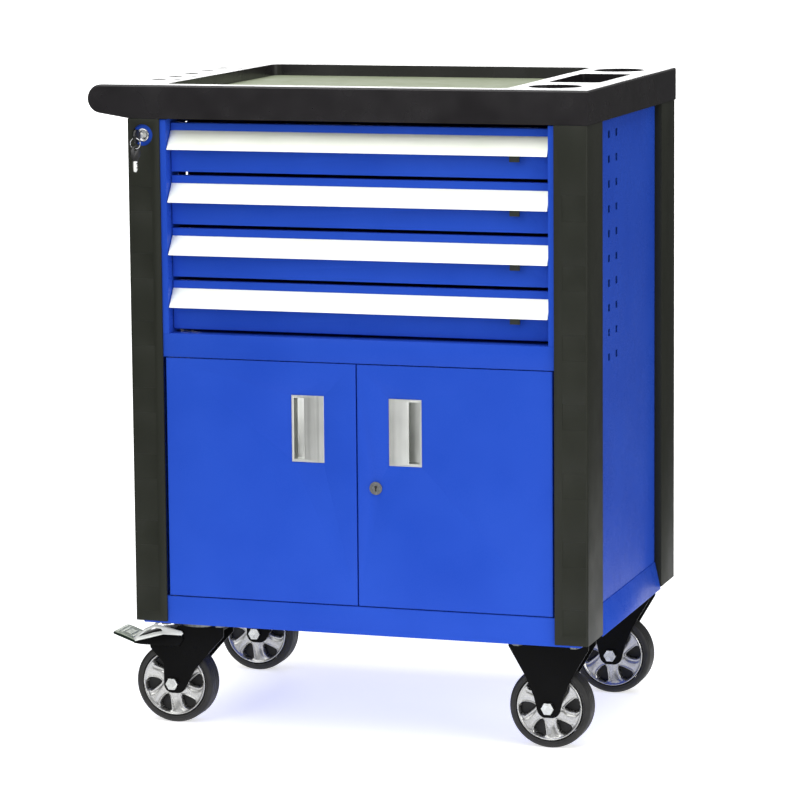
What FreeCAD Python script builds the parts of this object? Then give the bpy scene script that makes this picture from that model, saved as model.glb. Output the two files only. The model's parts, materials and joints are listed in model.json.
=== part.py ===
import FreeCAD, Part
import math
import os
import re
import Sketcher

# A rolling tool chest in sheet steel: four drawers on ball slides over a two-door
# compartment, plastic corner posts, a moulded top tray whose left end is the push
# handle, two braked swivel casters at the left and two fixed casters at the right.
#
# Most pieces are drawn in case coordinates, in millimetres: X to the right from the
# posts' left faces, Y back from the posts' front faces, Z up from the case's bottom
# edge. The sheet's first three cells say where that corner stands in the part's
# frame, whose origin is on the floor under the middle of the whole chest.

V = FreeCAD.Vector
AXES = "xyz"
DRAWERS = 4
TOOL_HOLES = 5
ENDS = {"front": "front_axle", "rear": "rear_axle"}
AXLE_DROP = "(case_bottom - tyre_radius)"

DIMENSIONS = [
    ("case_left", -282.5, "frame X of the posts' left faces"),
    ("case_front", -217, "frame Y of the posts' front faces"),
    ("case_bottom", 147, "frame Z of the case's bottom edge, above the floor"),
    ("case_width", 616, "over the posts"),
    ("case_depth", 467, "over the posts"),
    ("case_height", 665, "bottom edge to the top of the posts"),
    ("steel", 1.2, "sheet thickness of case, drawers and doors"),
    ("fit", 0.3, "gap between pieces that meet without touching"),
    ("face_inset", 3.5, "rail, stile and door faces behind the post faces"),
    ("post_front", 44, "width of a post's front or rear leg"),
    ("post_side", 75.8, "width of a post's side leg"),
    ("post_wall", 3.5, "thickness of the front leg"),
    ("post_skin", 3, "wall of the hollow side leg"),
    ("post_lift", 3, "foot of the posts above the bottom edge"),
    ("post_round", 3, "radius of a post's outer corner"),
    ("post_rib", 35, "distance of the side leg's middle rib from the corner"),
    ("relief_width", 30, "shallow square reliefs down the posts"),
    ("relief_height", 33, "height of a relief"),
    ("relief_pitch", 88, "spacing of the reliefs"),
    ("relief_count", 7, "reliefs down one post"),
    ("relief_depth", 0.6, "depth of a relief"),
    ("side_inset", 10, "side sheet inside the posts' outer faces"),
    ("side_flange", 30, "width of the side sheet's folded edges"),
    ("side_return", 16, "depth of the fold behind the front edge"),
    ("peg_size", 9.5, "square tool-hook holes"),
    ("peg_bottom", 354, "height of the lowest row of hook holes"),
    ("peg_pitch", 32.1, "spacing of the rows"),
    ("peg_rows", 10, "rows of hook holes"),
    ("peg_first", 147, "first column behind the post faces"),
    ("peg_column", 38, "spacing of the two columns"),
    ("base_height", 37, "height of the base"),
    ("base_flare", 9.5, "how far the side skirts spread"),
    ("channel_width", 104, "caster channels under the base"),
    ("channel_steel", 2, "their thickness"),
    ("rail_bottom", 354.8, "middle rail, lower edge"),
    ("rail_top", 385.4, "middle rail, upper edge"),
    ("rail_depth", 21.5, "depth of the rail's folded edge"),
    ("bay_wall", 52, "inner faces of the drawer bay"),
    ("pillar_depth", 41.5, "depth of a slide pillar"),
    ("rear_pillar", 409, "front of the rear pillars"),
    ("slide_start", 33, "front end of the slides"),
    ("slide_length", 400, "length of a slide member"),
    ("slide_height", 35, "height of an outer slide member"),
    ("slide_reach", 9, "width of an outer slide member"),
    ("slide_gap", 0.4, "running gap between slide members"),
    ("drawer_low", 389.65, "lower edge of the lowest drawer front"),
    ("drawer_pitch", 68.6, "spacing of the drawers"),
    ("drawer_height", 63.9, "height of a drawer front"),
    ("drawer_face", 19, "drawer front behind the post faces"),
    ("drawer_gap", 0.7, "side gap of a drawer front"),
    ("drawer_fold", 12, "depth of a drawer front"),
    ("drawer_side", 65, "outer side of a drawer's box"),
    ("drawer_length", 412, "drawer front to the back of its box"),
    ("drawer_lift", 5, "box above the front's lower edge"),
    ("drawer_depth", 50, "height of the box"),
    ("lip_below", 9.8, "handle below the drawer front's upper edge"),
    ("lip_reach", 17, "how far the handle's lip leans out"),
    ("lip_drop", 24.4, "height of the lip"),
    ("lip_wall", 2, "thickness of the lip, measured level"),
    ("lip_hem", 5, "width of the lip's turned-in lower edge"),
    ("lip_foot", 16, "height of the flange on the drawer front"),
    ("latch_left", 512, "left side of a drawer's latch tab"),
    ("latch_width", 13, "width of the tab"),
    ("latch_hang", 8, "tab below the handle's lower edge"),
    ("latch_travel", 6, "sideways travel of the tab"),
    ("tab_reach", 10, "front of the tab before the drawer front"),
    ("tab_thick", 3, "thickness of the tab"),
    ("stem_high", 17.5, "top of the tab's stem below the handle's top"),
    ("stem_low", 22, "underside of the stem below the handle's top"),
    ("door_edge", 47, "outer edge of a door"),
    ("door_split", 1.6, "gap between the doors"),
    ("door_bottom", 38.2, "lower edge of the doors"),
    ("door_height", 315.4, "height of a door"),
    ("door_depth", 20, "thickness of a door"),
    ("edge_round", 1.5, "radius of folded steel edges"),
    ("pivot_across", 52.4, "door pin, from the side"),
    ("pivot_back", 10.5, "door pin, from the post faces"),
    ("pin_radius", 3, "door pins"),
    ("pin_fit", 0.08, "radial clearance of pins in sheet steel"),
    ("pin_reach", 7, "length of a door pin"),
    ("pull_left", 220, "outer edge of a recessed pull"),
    ("pull_width", 44, "width of a pull"),
    ("pull_height", 87, "height of a pull"),
    ("pull_bottom", 224, "lower edge of a pull"),
    ("pull_depth", 15, "depth of a pull"),
    ("pull_wall", 1.6, "wall of a pull"),
    ("pull_bezel", 1.5, "bezel beyond the opening"),
    ("pull_mouth", 14, "width of the finger channel"),
    ("lock_across", 334, "door lock, from the left"),
    ("lock_up", 194, "door lock, above the bottom edge"),
    ("lock_body", 7.5, "radius of the door lock's barrel"),
    ("lock_flange", 8.5, "radius of its flange"),
    ("plug_radius", 5, "radius of a lock plug"),
    ("plug_fit", 0.05, "radial clearance of a plug"),
    ("cam_reach", 40, "length of the door lock's cam"),
    ("keyed_across", 21, "drawer lock, from the left"),
    ("keyed_up", 643.7, "drawer lock, above the bottom edge"),
    ("keyed_hole", 14, "radius of the opening in the post"),
    ("keyed_body", 8.2, "radius of the drawer lock's barrel"),
    ("keyed_flange", 9, "radius of its flange"),
    ("crank", 12, "drawer lock's crank, which lifts the bar as far"),
    ("bow_radius", 9, "head of a key"),
    ("bow_thick", 3, "thickness of a key's head"),
    ("bow_out", 20, "centre of the key's head before the post faces"),
    ("bow_hole", 2.8, "radius of the hole in the head"),
    ("bow_hole_out", 5, "that hole from the head's centre"),
    ("ring_radius", 7, "key ring, to the middle of its wire"),
    ("ring_wire", 0.75, "radius of the ring's wire"),
    ("blade_length", 14, "blade of the spare key"),
    ("tray_height", 43.5, "height of the top tray"),
    ("tray_seat", 0.3, "seam between posts and tray"),
    ("tray_proud", 1, "tray beyond the posts at the right and the back"),
    ("tray_wall", 3, "wall of the moulding"),
    ("tray_round", 2.5, "radius of its upper edges"),
    ("nose_reach", 55, "push handle beyond the posts"),
    ("nose_radius", 18.8, "radius of the push handle"),
    ("well_left", 45, "left edge of the well"),
    ("well_right", 505, "right edge of the well"),
    ("well_rim", 25, "rim before and behind the well"),
    ("well_depth", 18, "depth of the well"),
    ("well_round", 12, "corner radius of the well"),
    ("mat_thick", 2.5, "mat in the well"),
    ("mat_gap", 1, "mat to the well's walls"),
    ("cup_across", 555.5, "round bottle holders, from the left"),
    ("cup_inset", 70, "bottle holders from the front or the back"),
    ("cup_radius", 34, "radius of a bottle holder"),
    ("cup_depth", 30, "depth of a bottle holder"),
    ("pocket_left", 524, "rectangular pocket, left side"),
    ("pocket_right", 593, "rectangular pocket, right side"),
    ("pocket_front", 148, "rectangular pocket, front"),
    ("pocket_back", 319, "rectangular pocket, back"),
    ("pocket_depth", 25, "depth of the pocket"),
    ("pocket_round", 8, "corner radius of the pocket"),
    ("driver_hole", 9.5, "radius of the screwdriver holes"),
    ("driver_across", 4, "screwdriver holes, from the left"),
    ("bit_hole", 4.5, "radius of the small tool holes"),
    ("bit_across", 30, "small tool holes, from the left"),
    ("hole_first", 106, "first hole behind the post faces"),
    ("hole_pitch", 60, "spacing of the holes"),
    ("hole_depth", 32, "depth of the holes"),
    ("tyre_radius", 54, "wheel radius"),
    ("tyre_width", 32, "wheel width"),
    ("rim_radius", 44, "where the tyre meets the hub"),
    ("rim_wall", 6, "thickness of the hub's rim"),
    ("web_half", 11, "half the thickness of the hub's web"),
    ("core_half", 3, "half the thickness left between its pockets"),
    ("boss_radius", 10, "hub boss"),
    ("hub_half", 16.8, "half the length of the hub boss"),
    ("axle_radius", 5, "axle bolts"),
    ("axle_fit", 0.06, "radial clearance on the axle and the king pin"),
    ("front_axle", 73, "front wheels behind the post faces"),
    ("rear_axle", 394, "rear wheels behind the post faces"),
    ("swivel_across", 64.5, "swivel axis, from the left"),
    ("trail", 34.5, "wheel centre beside the swivel axis"),
    ("fixed_across", 549, "fixed wheels, from the left"),
    ("fork_half", 20, "half the width of a fork"),
    ("fork_wall", 2.5, "thickness of a fork's cheeks"),
    ("fork_tip", 13, "radius of a fork's lower end"),
    ("plate_thick", 3.5, "caster top plates"),
    ("plate_gap", 0.2, "paint and shim between plate and channel"),
    ("plate_long", 100, "length of a swivel caster's plate"),
    ("fixed_long", 107, "length of a fixed caster's plate"),
    ("plate_wide", 85, "width of a caster's plate"),
    ("race_radius", 27, "swivel bearing"),
    ("race_bottom", 13, "swivel bearing's underside below the case"),
    ("king_radius", 6, "king pin"),
    ("bolt_along", 38, "mounting bolts from the caster's middle, along X"),
    ("bolt_across", 32, "mounting bolts from the caster's middle, along Y"),
    ("bolt_radius", 4, "mounting bolts"),
    ("bolt_hole", 4.4, "their holes"),
    ("bolt_head", 7, "circumradius of their hexagon heads"),
    ("brake_back", 22.5, "brake pivot beside the swivel axis"),
    ("brake_down", 24, "brake pivot below the case"),
    ("brake_reach", 117, "end of the brake pedal beside the swivel axis"),
    ("pad_length", 29, "length of the pedal's foot plate"),
    ("pedal_half", 24, "half the width of the brake pedal"),
]
ALIASES = {name for name, value, note in DIMENSIONS}

doc = FreeCAD.newDocument("RollingToolChest")
dims = doc.addObject("Spreadsheet::Sheet", "dims")
for row, (name, value, note) in enumerate(DIMENSIONS, start=1):
    dims.set(f"A{row}", name)
    dims.set(f"B{row}", str(value))
    dims.setAlias(f"B{row}", name)
    dims.set(f"C{row}", note)
doc.recompute()

PARTS = []


# ---- rules, placement and naming ------------------------------------------------


def rule(text):
    """An expression in which each alias points at its cell."""
    return re.sub(r"[a-z_]+", lambda word: "dims." + word[0] if word[0] in ALIASES else word[0], str(text))


def number(text):
    """The value of a rule, for shapes that Part's own functions make."""
    return float(dims.evalExpression(rule(text)))


def bind(thing, **rules):
    """Bind properties to rules; a double underscore stands for a dot."""
    for path, text in rules.items():
        thing.setExpression(path.replace("__", "."), rule(text))
    return thing


def sub_part(name, thing, x="0", y="0", z="0"):
    """Name a finished piece and place it: x, y, z are case coordinates."""
    thing.Label = name
    bind(
        thing,
        Placement__Base__x=f"case_left + {x}",
        Placement__Base__y=f"case_front + {y}",
        Placement__Base__z=f"case_bottom + {z}",
    )
    PARTS.append(thing)
    return thing


def right_hand(x):
    """The rule for a place mirrored to the right of the case."""
    return f"case_width - ({x})"


def hand(x, right):
    return right_hand(x) if right else x


# ---- Part primitives and booleans -----------------------------------------------


def block(low, high):
    """A box between two corners, each three rules."""
    box = doc.addObject("Part::Box", "block")
    for axis, side, start, end in zip(AXES, ("Length", "Width", "Height"), low, high):
        bind(box, **{side: f"({end}) - ({start})", "Placement__Base__" + axis: start})
    return box


def hand_block(low, high, right):
    """A box drawn for the left side, or its mirror image."""
    if not right:
        return block(low, high)
    return block((right_hand(high[0]), *low[1:]), (right_hand(low[0]), *high[1:]))


TURNS = {
    "z": FreeCAD.Rotation(),
    "y": FreeCAD.Rotation(V(1, 0, 0), -90),
    "x": FreeCAD.Rotation(V(0, 1, 0), 90),
}


def bolt_places():
    """Where a caster's four mounting bolts stand, from the caster's middle."""
    return [(f"{a}bolt_along", f"{b}bolt_across") for a in ("", "-") for b in ("", "-")]


def rod(start, radius, length, along="z", sides=0):
    """A cylinder, or a prism with that many sides, from its start along an axis."""
    shape = doc.addObject("Part::Prism" if sides else "Part::Cylinder", "rod")
    shape.Placement.Rotation = TURNS[along]
    if sides:
        shape.Polygon = sides
        bind(shape, Circumradius=radius)
    else:
        bind(shape, Radius=radius)
    bind(shape, Height=length)
    for axis, text in zip(AXES, start):
        bind(shape, **{"Placement__Base__" + axis: text})
    return shape


def join(*pieces):
    """One solid from several that overlap or share a face."""
    fused = doc.addObject("Part::MultiFuse", "joined")
    fused.Shapes = list(pieces)
    fused.Refine = True
    return fused


def cut(base, *tools):
    """A solid with others taken out of it."""
    result = doc.addObject("Part::Cut", "cut")
    result.Base = base
    result.Tool = tools[0] if len(tools) == 1 else join(*tools)
    result.Refine = True
    return result


def group(*pieces):
    """Separate solids that share one node."""
    compound = doc.addObject("Part::Compound", "group")
    compound.Links = list(pieces)
    return compound


# ---- PartDesign bodies ------------------------------------------------------------


def new_body():
    return doc.addObject("PartDesign::Body", "piece")


def sketch(body, role, loops, offset="0"):
    """A sketch on one of the body's own planes; each loop is a polygon or a circle."""
    plane = next(item for item in body.Origin.OriginFeatures if item.Role == role)
    drawing = body.newObject("Sketcher::SketchObject", "outline")
    drawing.AttachmentSupport = (plane, "")
    drawing.MapMode = "FlatFace"
    bind(drawing, AttachmentOffset__Base__z=offset)
    for loop in loops:
        if loop[0] == "circle":
            add_circle(drawing, *loop[1:])
        else:
            add_polygon(drawing, loop)
    return drawing


def pin_point(drawing, geometry, point, x, y):
    """Hold one point of a sketch at two rules, measured from its origin."""
    for kind, text in (("DistanceX", x), ("DistanceY", y)):
        index = drawing.addConstraint(
            Sketcher.Constraint(kind, -1, 1, geometry, point, number(text))
        )
        drawing.setExpression(f"Constraints[{index}]", rule(text))


def add_polygon(drawing, points):
    corners = [V(number(x), number(y), 0) for x, y in points]
    first = drawing.GeometryCount
    count = len(points)
    for i, corner in enumerate(corners):
        drawing.addGeometry(Part.LineSegment(corner, corners[(i + 1) % count]), False)
    for i in range(count):
        joint = Sketcher.Constraint("Coincident", first + i, 2, first + (i + 1) % count, 1)
        drawing.addConstraint(joint)
    for i, (x, y) in enumerate(points):
        pin_point(drawing, first + i, 1, x, y)


def add_circle(drawing, x, y, radius):
    centre = V(number(x), number(y), 0)
    circle = drawing.addGeometry(Part.Circle(centre, V(0, 0, 1), number(radius)), False)
    pin_point(drawing, circle, 3, x, y)
    index = drawing.addConstraint(Sketcher.Constraint("Radius", circle, number(radius)))
    drawing.setExpression(f"Constraints[{index}]", rule(radius))


def pad(body, drawing, length, both_ways=False, backwards=False):
    feature = body.newObject("PartDesign::Pad", "pad")
    feature.Profile = drawing
    feature.SideType = "Symmetric" if both_ways else "One side"
    feature.Reversed = backwards
    bind(feature, Length=length)
    doc.recompute()
    return feature


def pocket(body, drawing, length=None, both_ways=False, backwards=False):
    """Cut a sketch out of the body, through everything when no length is given."""
    before = body.Shape.Volume
    feature = body.newObject("PartDesign::Pocket", "pocket")
    feature.Profile = drawing
    feature.SideType = "Symmetric" if both_ways else "One side"
    feature.Reversed = backwards
    if length is None:
        feature.Type = "ThroughAll"
    else:
        bind(feature, Length=length)
    doc.recompute()
    if body.Shape.Volume > before - 0.01:
        raise ValueError("a pocket cut nothing out of its body")
    return feature


def pattern(body, feature, drawing, axis, length, count):
    """Repeat a feature in a row along one of its sketch's axes."""
    row = body.newObject("PartDesign::LinearPattern", "row")
    row.Originals = [feature]
    row.Direction = (drawing, [axis])
    bind(row, Length=length, Occurrences=count)
    body.Tip = row
    doc.recompute()


def edges_of(shape, test):
    """Names of the edges for which the test of both end points holds."""
    names = []
    for index, edge in enumerate(shape.Edges, start=1):
        ends = [vertex.Point for vertex in edge.Vertexes]
        if len(ends) == 2 and test(*ends):
            names.append(f"Edge{index}")
    return names


def fillet(body, radius, test):
    """Round the body's edges that pass the test."""
    base = body.Tip
    feature = body.newObject("PartDesign::Fillet", "rounded")
    feature.Base = (base, edges_of(base.Shape, test))
    bind(feature, Radius=radius)
    doc.recompute()


def upright(a, b):
    """Edges that stand straight up."""
    return abs(a.x - b.x) + abs(a.y - b.y) < 0.01


# ---- case --------------------------------------------------------------------------


def corner_post(name, right, rear):
    """A plastic angle over one corner of the case, hollow behind its side leg."""

    def at(x, y):
        return hand(x, right), f"case_depth - ({y})" if rear else y

    outline = [
        at("0", "0"),
        at("post_front", "0"),
        at("post_front", "post_wall"),
        at("post_skin", "post_wall"),
        at("post_skin", "post_rib"),
        at("side_inset", "post_rib"),
        at("side_inset", "post_rib + post_skin"),
        at("post_skin", "post_rib + post_skin"),
        at("post_skin", "post_side - post_skin"),
        at("side_inset", "post_side - post_skin"),
        at("side_inset", "post_side"),
        at("0", "post_side"),
    ]
    body = new_body()
    pad(body, sketch(body, "XY_Plane", [outline], "post_lift"), "case_height - post_lift")
    corner = V(number(hand("0", right)), number("case_depth" if rear else "0"), 0)
    fillet(
        body,
        "post_round",
        lambda a, b: upright(a, b) and abs(a.x - corner.x) + abs(a.y - corner.y) < 0.01,
    )
    left, wide = hand("post_round", right), hand("post_round + relief_width", right)
    low, high = "relief_height / 2", "relief_height * 3 / 2"
    face = "-case_depth" if rear else "0"
    relief = sketch(body, "XZ_Plane", [[(left, low), (wide, low), (wide, high), (left, high)]], face)
    first = pocket(body, relief, "relief_depth", backwards=rear)
    pattern(body, first, relief, "V_Axis", "relief_pitch * (relief_count - 1)", "relief_count")
    if not right and not rear:
        keyed = sketch(body, "XZ_Plane", [("circle", "keyed_across", "keyed_up", "keyed_hole")])
        pocket(body, keyed, "post_wall")
    return sub_part(name, body)


def side_panel(name, right):
    """The side sheet, folded at front and rear, with two columns of hook holes."""
    front, back = "face_inset + fit", "case_depth - face_inset - fit"
    edge = "side_inset + side_flange"
    outline = [
        ("side_inset", front),
        (edge, front),
        (edge, f"{front} + side_return"),
        (f"{edge} - steel", f"{front} + side_return"),
        (f"{edge} - steel", f"{front} + steel"),
        ("side_inset + steel", f"{front} + steel"),
        ("side_inset + steel", f"{back} - steel"),
        (edge, f"{back} - steel"),
        (edge, back),
        ("side_inset", back),
    ]
    body = new_body()
    section = sketch(body, "XY_Plane", [[(hand(x, right), y) for x, y in outline]], "base_height + fit")
    pad(body, section, "case_height - base_height - 1 - fit")
    squares = []
    for column in ("peg_first", "peg_first + peg_column"):
        low, high = "peg_bottom - peg_size / 2", "peg_bottom + peg_size / 2"
        near, far = f"{column} - peg_size / 2", f"{column} + peg_size / 2"
        squares.append([(near, low), (far, low), (far, high), (near, high)])
    pegs = sketch(body, "YZ_Plane", squares, hand("side_inset", right))
    first = pocket(body, pegs, "steel * 3", both_ways=True)
    pattern(body, first, pegs, "V_Axis", "peg_pitch * (peg_rows - 1)", "peg_rows")
    if not right:
        keyed = sketch(body, "XZ_Plane", [("circle", "keyed_across", "keyed_up", "keyed_body + fit")])
        pocket(body, keyed, "side_return", both_ways=True)
    return sub_part(name, body)


def back_panel():
    back = "case_depth - face_inset - fit * 2 - steel"
    sheet = block(
        ("side_inset + steel + fit", f"{back} - steel", "base_height + fit"),
        (right_hand("side_inset + steel + fit"), back, "case_height - 1"),
    )
    return sub_part("back_panel", group(sheet))


def base_pan():
    """An upturned pan under the case; its side skirts flare out between the posts."""
    body = new_body()
    back = "case_depth - face_inset - fit"

    def plan(gap):
        left, right = f"side_inset + {gap}", right_hand(f"side_inset + {gap}")
        near, far = f"face_inset + {gap}", f"{back} - {gap}"
        return [(left, near), (right, near), (right, far), (left, far)]

    pad(body, sketch(body, "XY_Plane", [plan("0")]), "base_height")
    fillet(
        body,
        "edge_round",
        lambda a, b: abs(a.z - b.z) < 0.01 and abs(a.z - number("base_height")) < 0.01
        and abs(a.y - b.y) < 0.01 and abs(a.y - number("face_inset")) < 0.01,
    )
    pocket(body, sketch(body, "XY_Plane", [plan("steel")]), "base_height - steel", backwards=True)
    skirts = []
    for right in (False, True):
        skirt = [
            ("side_inset", "base_height"),
            ("side_inset - steel", "base_height"),
            ("side_inset - base_flare", "0"),
            ("side_inset - base_flare + steel", "0"),
            ("side_inset", "base_height - steel * 2"),
        ]
        skirts.append([(hand(x, right), z) for x, z in skirt])
    front = "-(post_side + fit)"
    pad(body, sketch(body, "XZ_Plane", skirts, front), "case_depth - 2 * (post_side + fit)", backwards=True)
    return sub_part("base_pan", body)


def caster_channels():
    """Two open channels inside the base, which stiffen it where the casters bolt on."""
    channels = []
    for middle in ("swivel_across", "fixed_across"):
        left, right = f"{middle} - channel_width / 2", f"{middle} + channel_width / 2"
        front, back = "face_inset + steel + fit", "case_depth - face_inset - steel - fit * 2"
        outer = block((left, front, "0"), (right, back, "base_height - steel - fit"))
        inner = block(
            (f"{left} + channel_steel", front, "channel_steel"),
            (f"{right} - channel_steel", back, "base_height"),
        )
        holes = [
            rod((f"{middle} + {x}", f"{axle} + {y}", "0"), "bolt_hole", "channel_steel")
            for axle in ENDS.values()
            for x, y in bolt_places()
        ]
        king = [rod((middle, axle, "0"), "king_radius * 2", "channel_steel") for axle in ENDS.values()]
        channels.append(cut(outer, inner, *holes, *king))
    return sub_part("caster_channels", group(*channels))


def divider_shelf():
    """The shelf under the drawers, folded down and back to make the middle rail."""
    left = "side_inset + side_flange + fit"
    face, back = "face_inset", "face_inset + rail_depth"
    side = "side_inset + steel + fit"
    pieces = [
        block((left, face, "rail_bottom"), (right_hand(left), f"{face} + steel", "rail_top")),
        block((left, face, "rail_bottom"), (right_hand(left), back, "rail_bottom + steel")),
        block((left, face, "rail_top - steel"), (right_hand(left), back, "rail_top")),
        block(
            (side, f"{back} - 4 * steel", "rail_top - steel"),
            (right_hand(side), "case_depth - face_inset - 4 * steel", "rail_top"),
        ),
    ]
    return sub_part("divider_shelf", join(*pieces))


def slide_pillars():
    """Four folded uprights that carry the slides; the front pair shows as stiles."""
    pillars = []
    inner = "bay_wall - steel"
    side = "side_inset + steel + fit"
    top = "case_height - 1"
    for right in (False, True):
        face, back = "face_inset", "face_inset + pillar_depth"
        stile = "side_inset + side_flange + fit"
        front_pieces = [
            ((stile, face, "rail_top"), ("bay_wall", f"{face} + steel", top)),
            ((inner, face, "rail_top"), ("bay_wall", back, top)),
            ((side, f"{back} - steel", "rail_top"), ("bay_wall", back, top)),
        ]
        rear, end = "rear_pillar", "rear_pillar + pillar_depth"
        rear_pieces = [
            ((side, rear, "rail_top"), ("bay_wall", f"{rear} + steel", top)),
            ((inner, rear, "rail_top"), ("bay_wall", end, top)),
            ((side, f"{end} - steel", "rail_top"), ("bay_wall", end, top)),
        ]
        for pieces in (front_pieces, rear_pieces):
            pillars.append(join(*[hand_block(low, high, right) for low, high in pieces]))
    return sub_part("slide_pillars", group(*pillars))


# ---- drawers -------------------------------------------------------------------------


def drawer_bottom(index):
    """Lower edge of a drawer front; drawer 1 is the top one."""
    return f"drawer_low + drawer_pitch * {DRAWERS - index}"


def slide_member(middle, inner, right):
    """One C-shaped slide member; the drawer's own is nested in the case's."""
    if inner:
        near, far = "drawer_side - slide_reach - 1", "drawer_side"
        half = "slide_height / 2 - steel - slide_gap"
        hollow = (near, f"{far} - steel")
    else:
        near, far = "bay_wall", "bay_wall + slide_reach"
        half = "slide_height / 2"
        hollow = (f"{near} + steel", far)
    start, end = "slide_start", "slide_start + slide_length"
    outer = hand_block((near, start, f"{middle} - ({half})"), (far, end, f"{middle} + {half}"), right)
    core = hand_block(
        (hollow[0], start, f"{middle} - ({half}) + steel"),
        (hollow[1], end, f"{middle} + {half} - steel"),
        right,
    )
    return cut(outer, core)


def slide_middle(index):
    return f"{drawer_bottom(index)} + drawer_height / 2"


def drawer_box(index):
    """Front pan and open box, folded from sheet and welded into one piece."""
    low, high = drawer_bottom(index), f"{drawer_bottom(index)} + drawer_height"
    left = "bay_wall + drawer_gap"
    face = "drawer_face"
    pan = block((left, face, low), (right_hand(left), f"{face} + drawer_fold", high))
    rounded = doc.addObject("Part::Fillet", "rounded")
    rounded.Base = pan
    doc.recompute()
    front = number(face)
    names = edges_of(pan.Shape, lambda a, b: abs(a.y - front) + abs(b.y - front) < 0.01)
    radius = number("edge_round")
    rounded.Edges = [(int(name[4:]), radius, radius) for name in names]
    pan_hollow = block(
        (f"{left} + steel", f"{face} + steel", f"{low} + steel"),
        (right_hand(f"{left} + steel"), f"{face} + drawer_fold", f"{high} - steel"),
    )
    floor = f"{low} + drawer_lift"
    back = f"{face} + drawer_length"
    tub = block(
        ("drawer_side", f"{face} + steel / 2", floor),
        (right_hand("drawer_side"), back, f"{floor} + drawer_depth"),
    )
    tub_hollow = block(
        ("drawer_side + steel", f"{face} + steel", f"{floor} + steel"),
        (right_hand("drawer_side + steel"), f"{back} - steel", f"{floor} + drawer_depth"),
    )
    slot = block(
        ("latch_left - latch_travel", f"{face} - steel", latch_height(index, "-stem_low - 0.5")),
        ("latch_left + latch_width + 1", f"{face} + steel * 2", latch_height(index, "-stem_high + 0.5")),
    )
    return cut(join(cut(rounded, pan_hollow), cut(tub, tub_hollow)), slot)


def drawer_handle(index):
    """An aluminium section along the drawer front, leaning out to a finger lip."""
    slope = "lip_reach / lip_drop"
    outline = [
        ("0", "0"),
        ("-lip_reach", "-lip_drop"),
        ("-lip_reach + lip_hem", "-lip_drop"),
        ("-lip_reach + lip_hem", "-lip_drop + lip_wall"),
        (f"-(lip_drop - lip_wall) * {slope} + lip_wall", "-lip_drop + lip_wall"),
        ("-lip_wall", f"-2 * lip_wall / ({slope})"),
        ("-lip_wall", "-lip_foot"),
        ("0", "-lip_foot"),
    ]
    body = new_body()
    left = "bay_wall + drawer_gap + fit"
    drawing = sketch(body, "YZ_Plane", [outline], left)
    pad(body, drawing, f"case_width - 2 * ({left})")
    return sub_part(
        f"drawer_{index}_handle",
        body,
        y="drawer_face",
        z=f"({drawer_bottom(index)} + drawer_height - lip_below)",
    )


def latch_height(index, offset):
    """A height measured from the top of the drawer's handle."""
    return f"{drawer_bottom(index)} + drawer_height - lip_below + {offset}"


def drawer_latch(index):
    """The thumb tab below the handle, its stem through the front, and its keeper."""
    left, right = "latch_left", "latch_left + latch_width"
    face = "drawer_face"
    tab = block(
        (left, f"{face} - tab_reach", latch_height(index, "-lip_drop - latch_hang")),
        (right, f"{face} - tab_reach + tab_thick", latch_height(index, "-stem_high - 0.5")),
    )
    stem = block(
        (f"{left} + 2", f"{face} - tab_reach + 2", latch_height(index, "-stem_low")),
        (f"{right} - 2", f"{face} + steel + 2", latch_height(index, "-stem_high")),
    )
    keeper = block(
        (f"{left} - 6", f"{face} + steel + fit", latch_height(index, "-stem_low - 4")),
        (f"{right} + 6", f"{face} + steel + 2", latch_height(index, "-stem_high + 4")),
    )
    return sub_part(f"drawer_{index}_latch", join(tab, stem, keeper))


def drawers():
    rails = []
    for index in range(1, DRAWERS + 1):
        sub_part(f"drawer_{index}_box", drawer_box(index))
        drawer_handle(index)
        drawer_latch(index)
        middle = slide_middle(index)
        members = [slide_member(middle, True, right) for right in (False, True)]
        sub_part(f"drawer_{index}_slides", group(*members))
        rails += [slide_member(middle, False, right) for right in (False, True)]
    sub_part("case_slides", group(*rails))


# ---- doors -----------------------------------------------------------------------------


def door(name, right):
    """A door pan folded from sheet, open at the back."""
    top = "door_bottom + door_height"
    split = "case_width / 2 - door_split / 2"

    def frontal(gap):
        left, end = hand(f"door_edge + {gap}", right), hand(f"{split} - {gap}", right)
        low, high = f"door_bottom + {gap}", f"{top} - {gap}"
        return [(left, low), (end, low), (end, high), (left, high)]

    body = new_body()
    pad(body, sketch(body, "XZ_Plane", [frontal("0")], "-face_inset"), "door_depth", backwards=True)
    front = number("face_inset")
    fillet(body, "edge_round", lambda a, b: abs(a.y - front) + abs(b.y - front) < 0.01)
    hollow = sketch(body, "XZ_Plane", [frontal("steel")], "-(face_inset + steel)")
    pocket(body, hollow, "door_depth")
    left, end = hand("pull_left + pull_bezel", right), hand("pull_left + pull_width - pull_bezel", right)
    low, high = "pull_bottom + pull_bezel", "pull_bottom + pull_height - pull_bezel"
    openings = [[(left, low), (end, low), (end, high), (left, high)]]
    if right:
        openings.append(("circle", "lock_across", "lock_up", "lock_body + fit / 2"))
    pocket(body, sketch(body, "XZ_Plane", openings, "-face_inset"), "steel * 2", both_ways=True)
    pins = sketch(
        body, "XY_Plane", [("circle", hand("pivot_across", right), "pivot_back", "pin_radius + pin_fit")]
    )
    pocket(body, pins, backwards=True)
    return sub_part(name, body)


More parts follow.
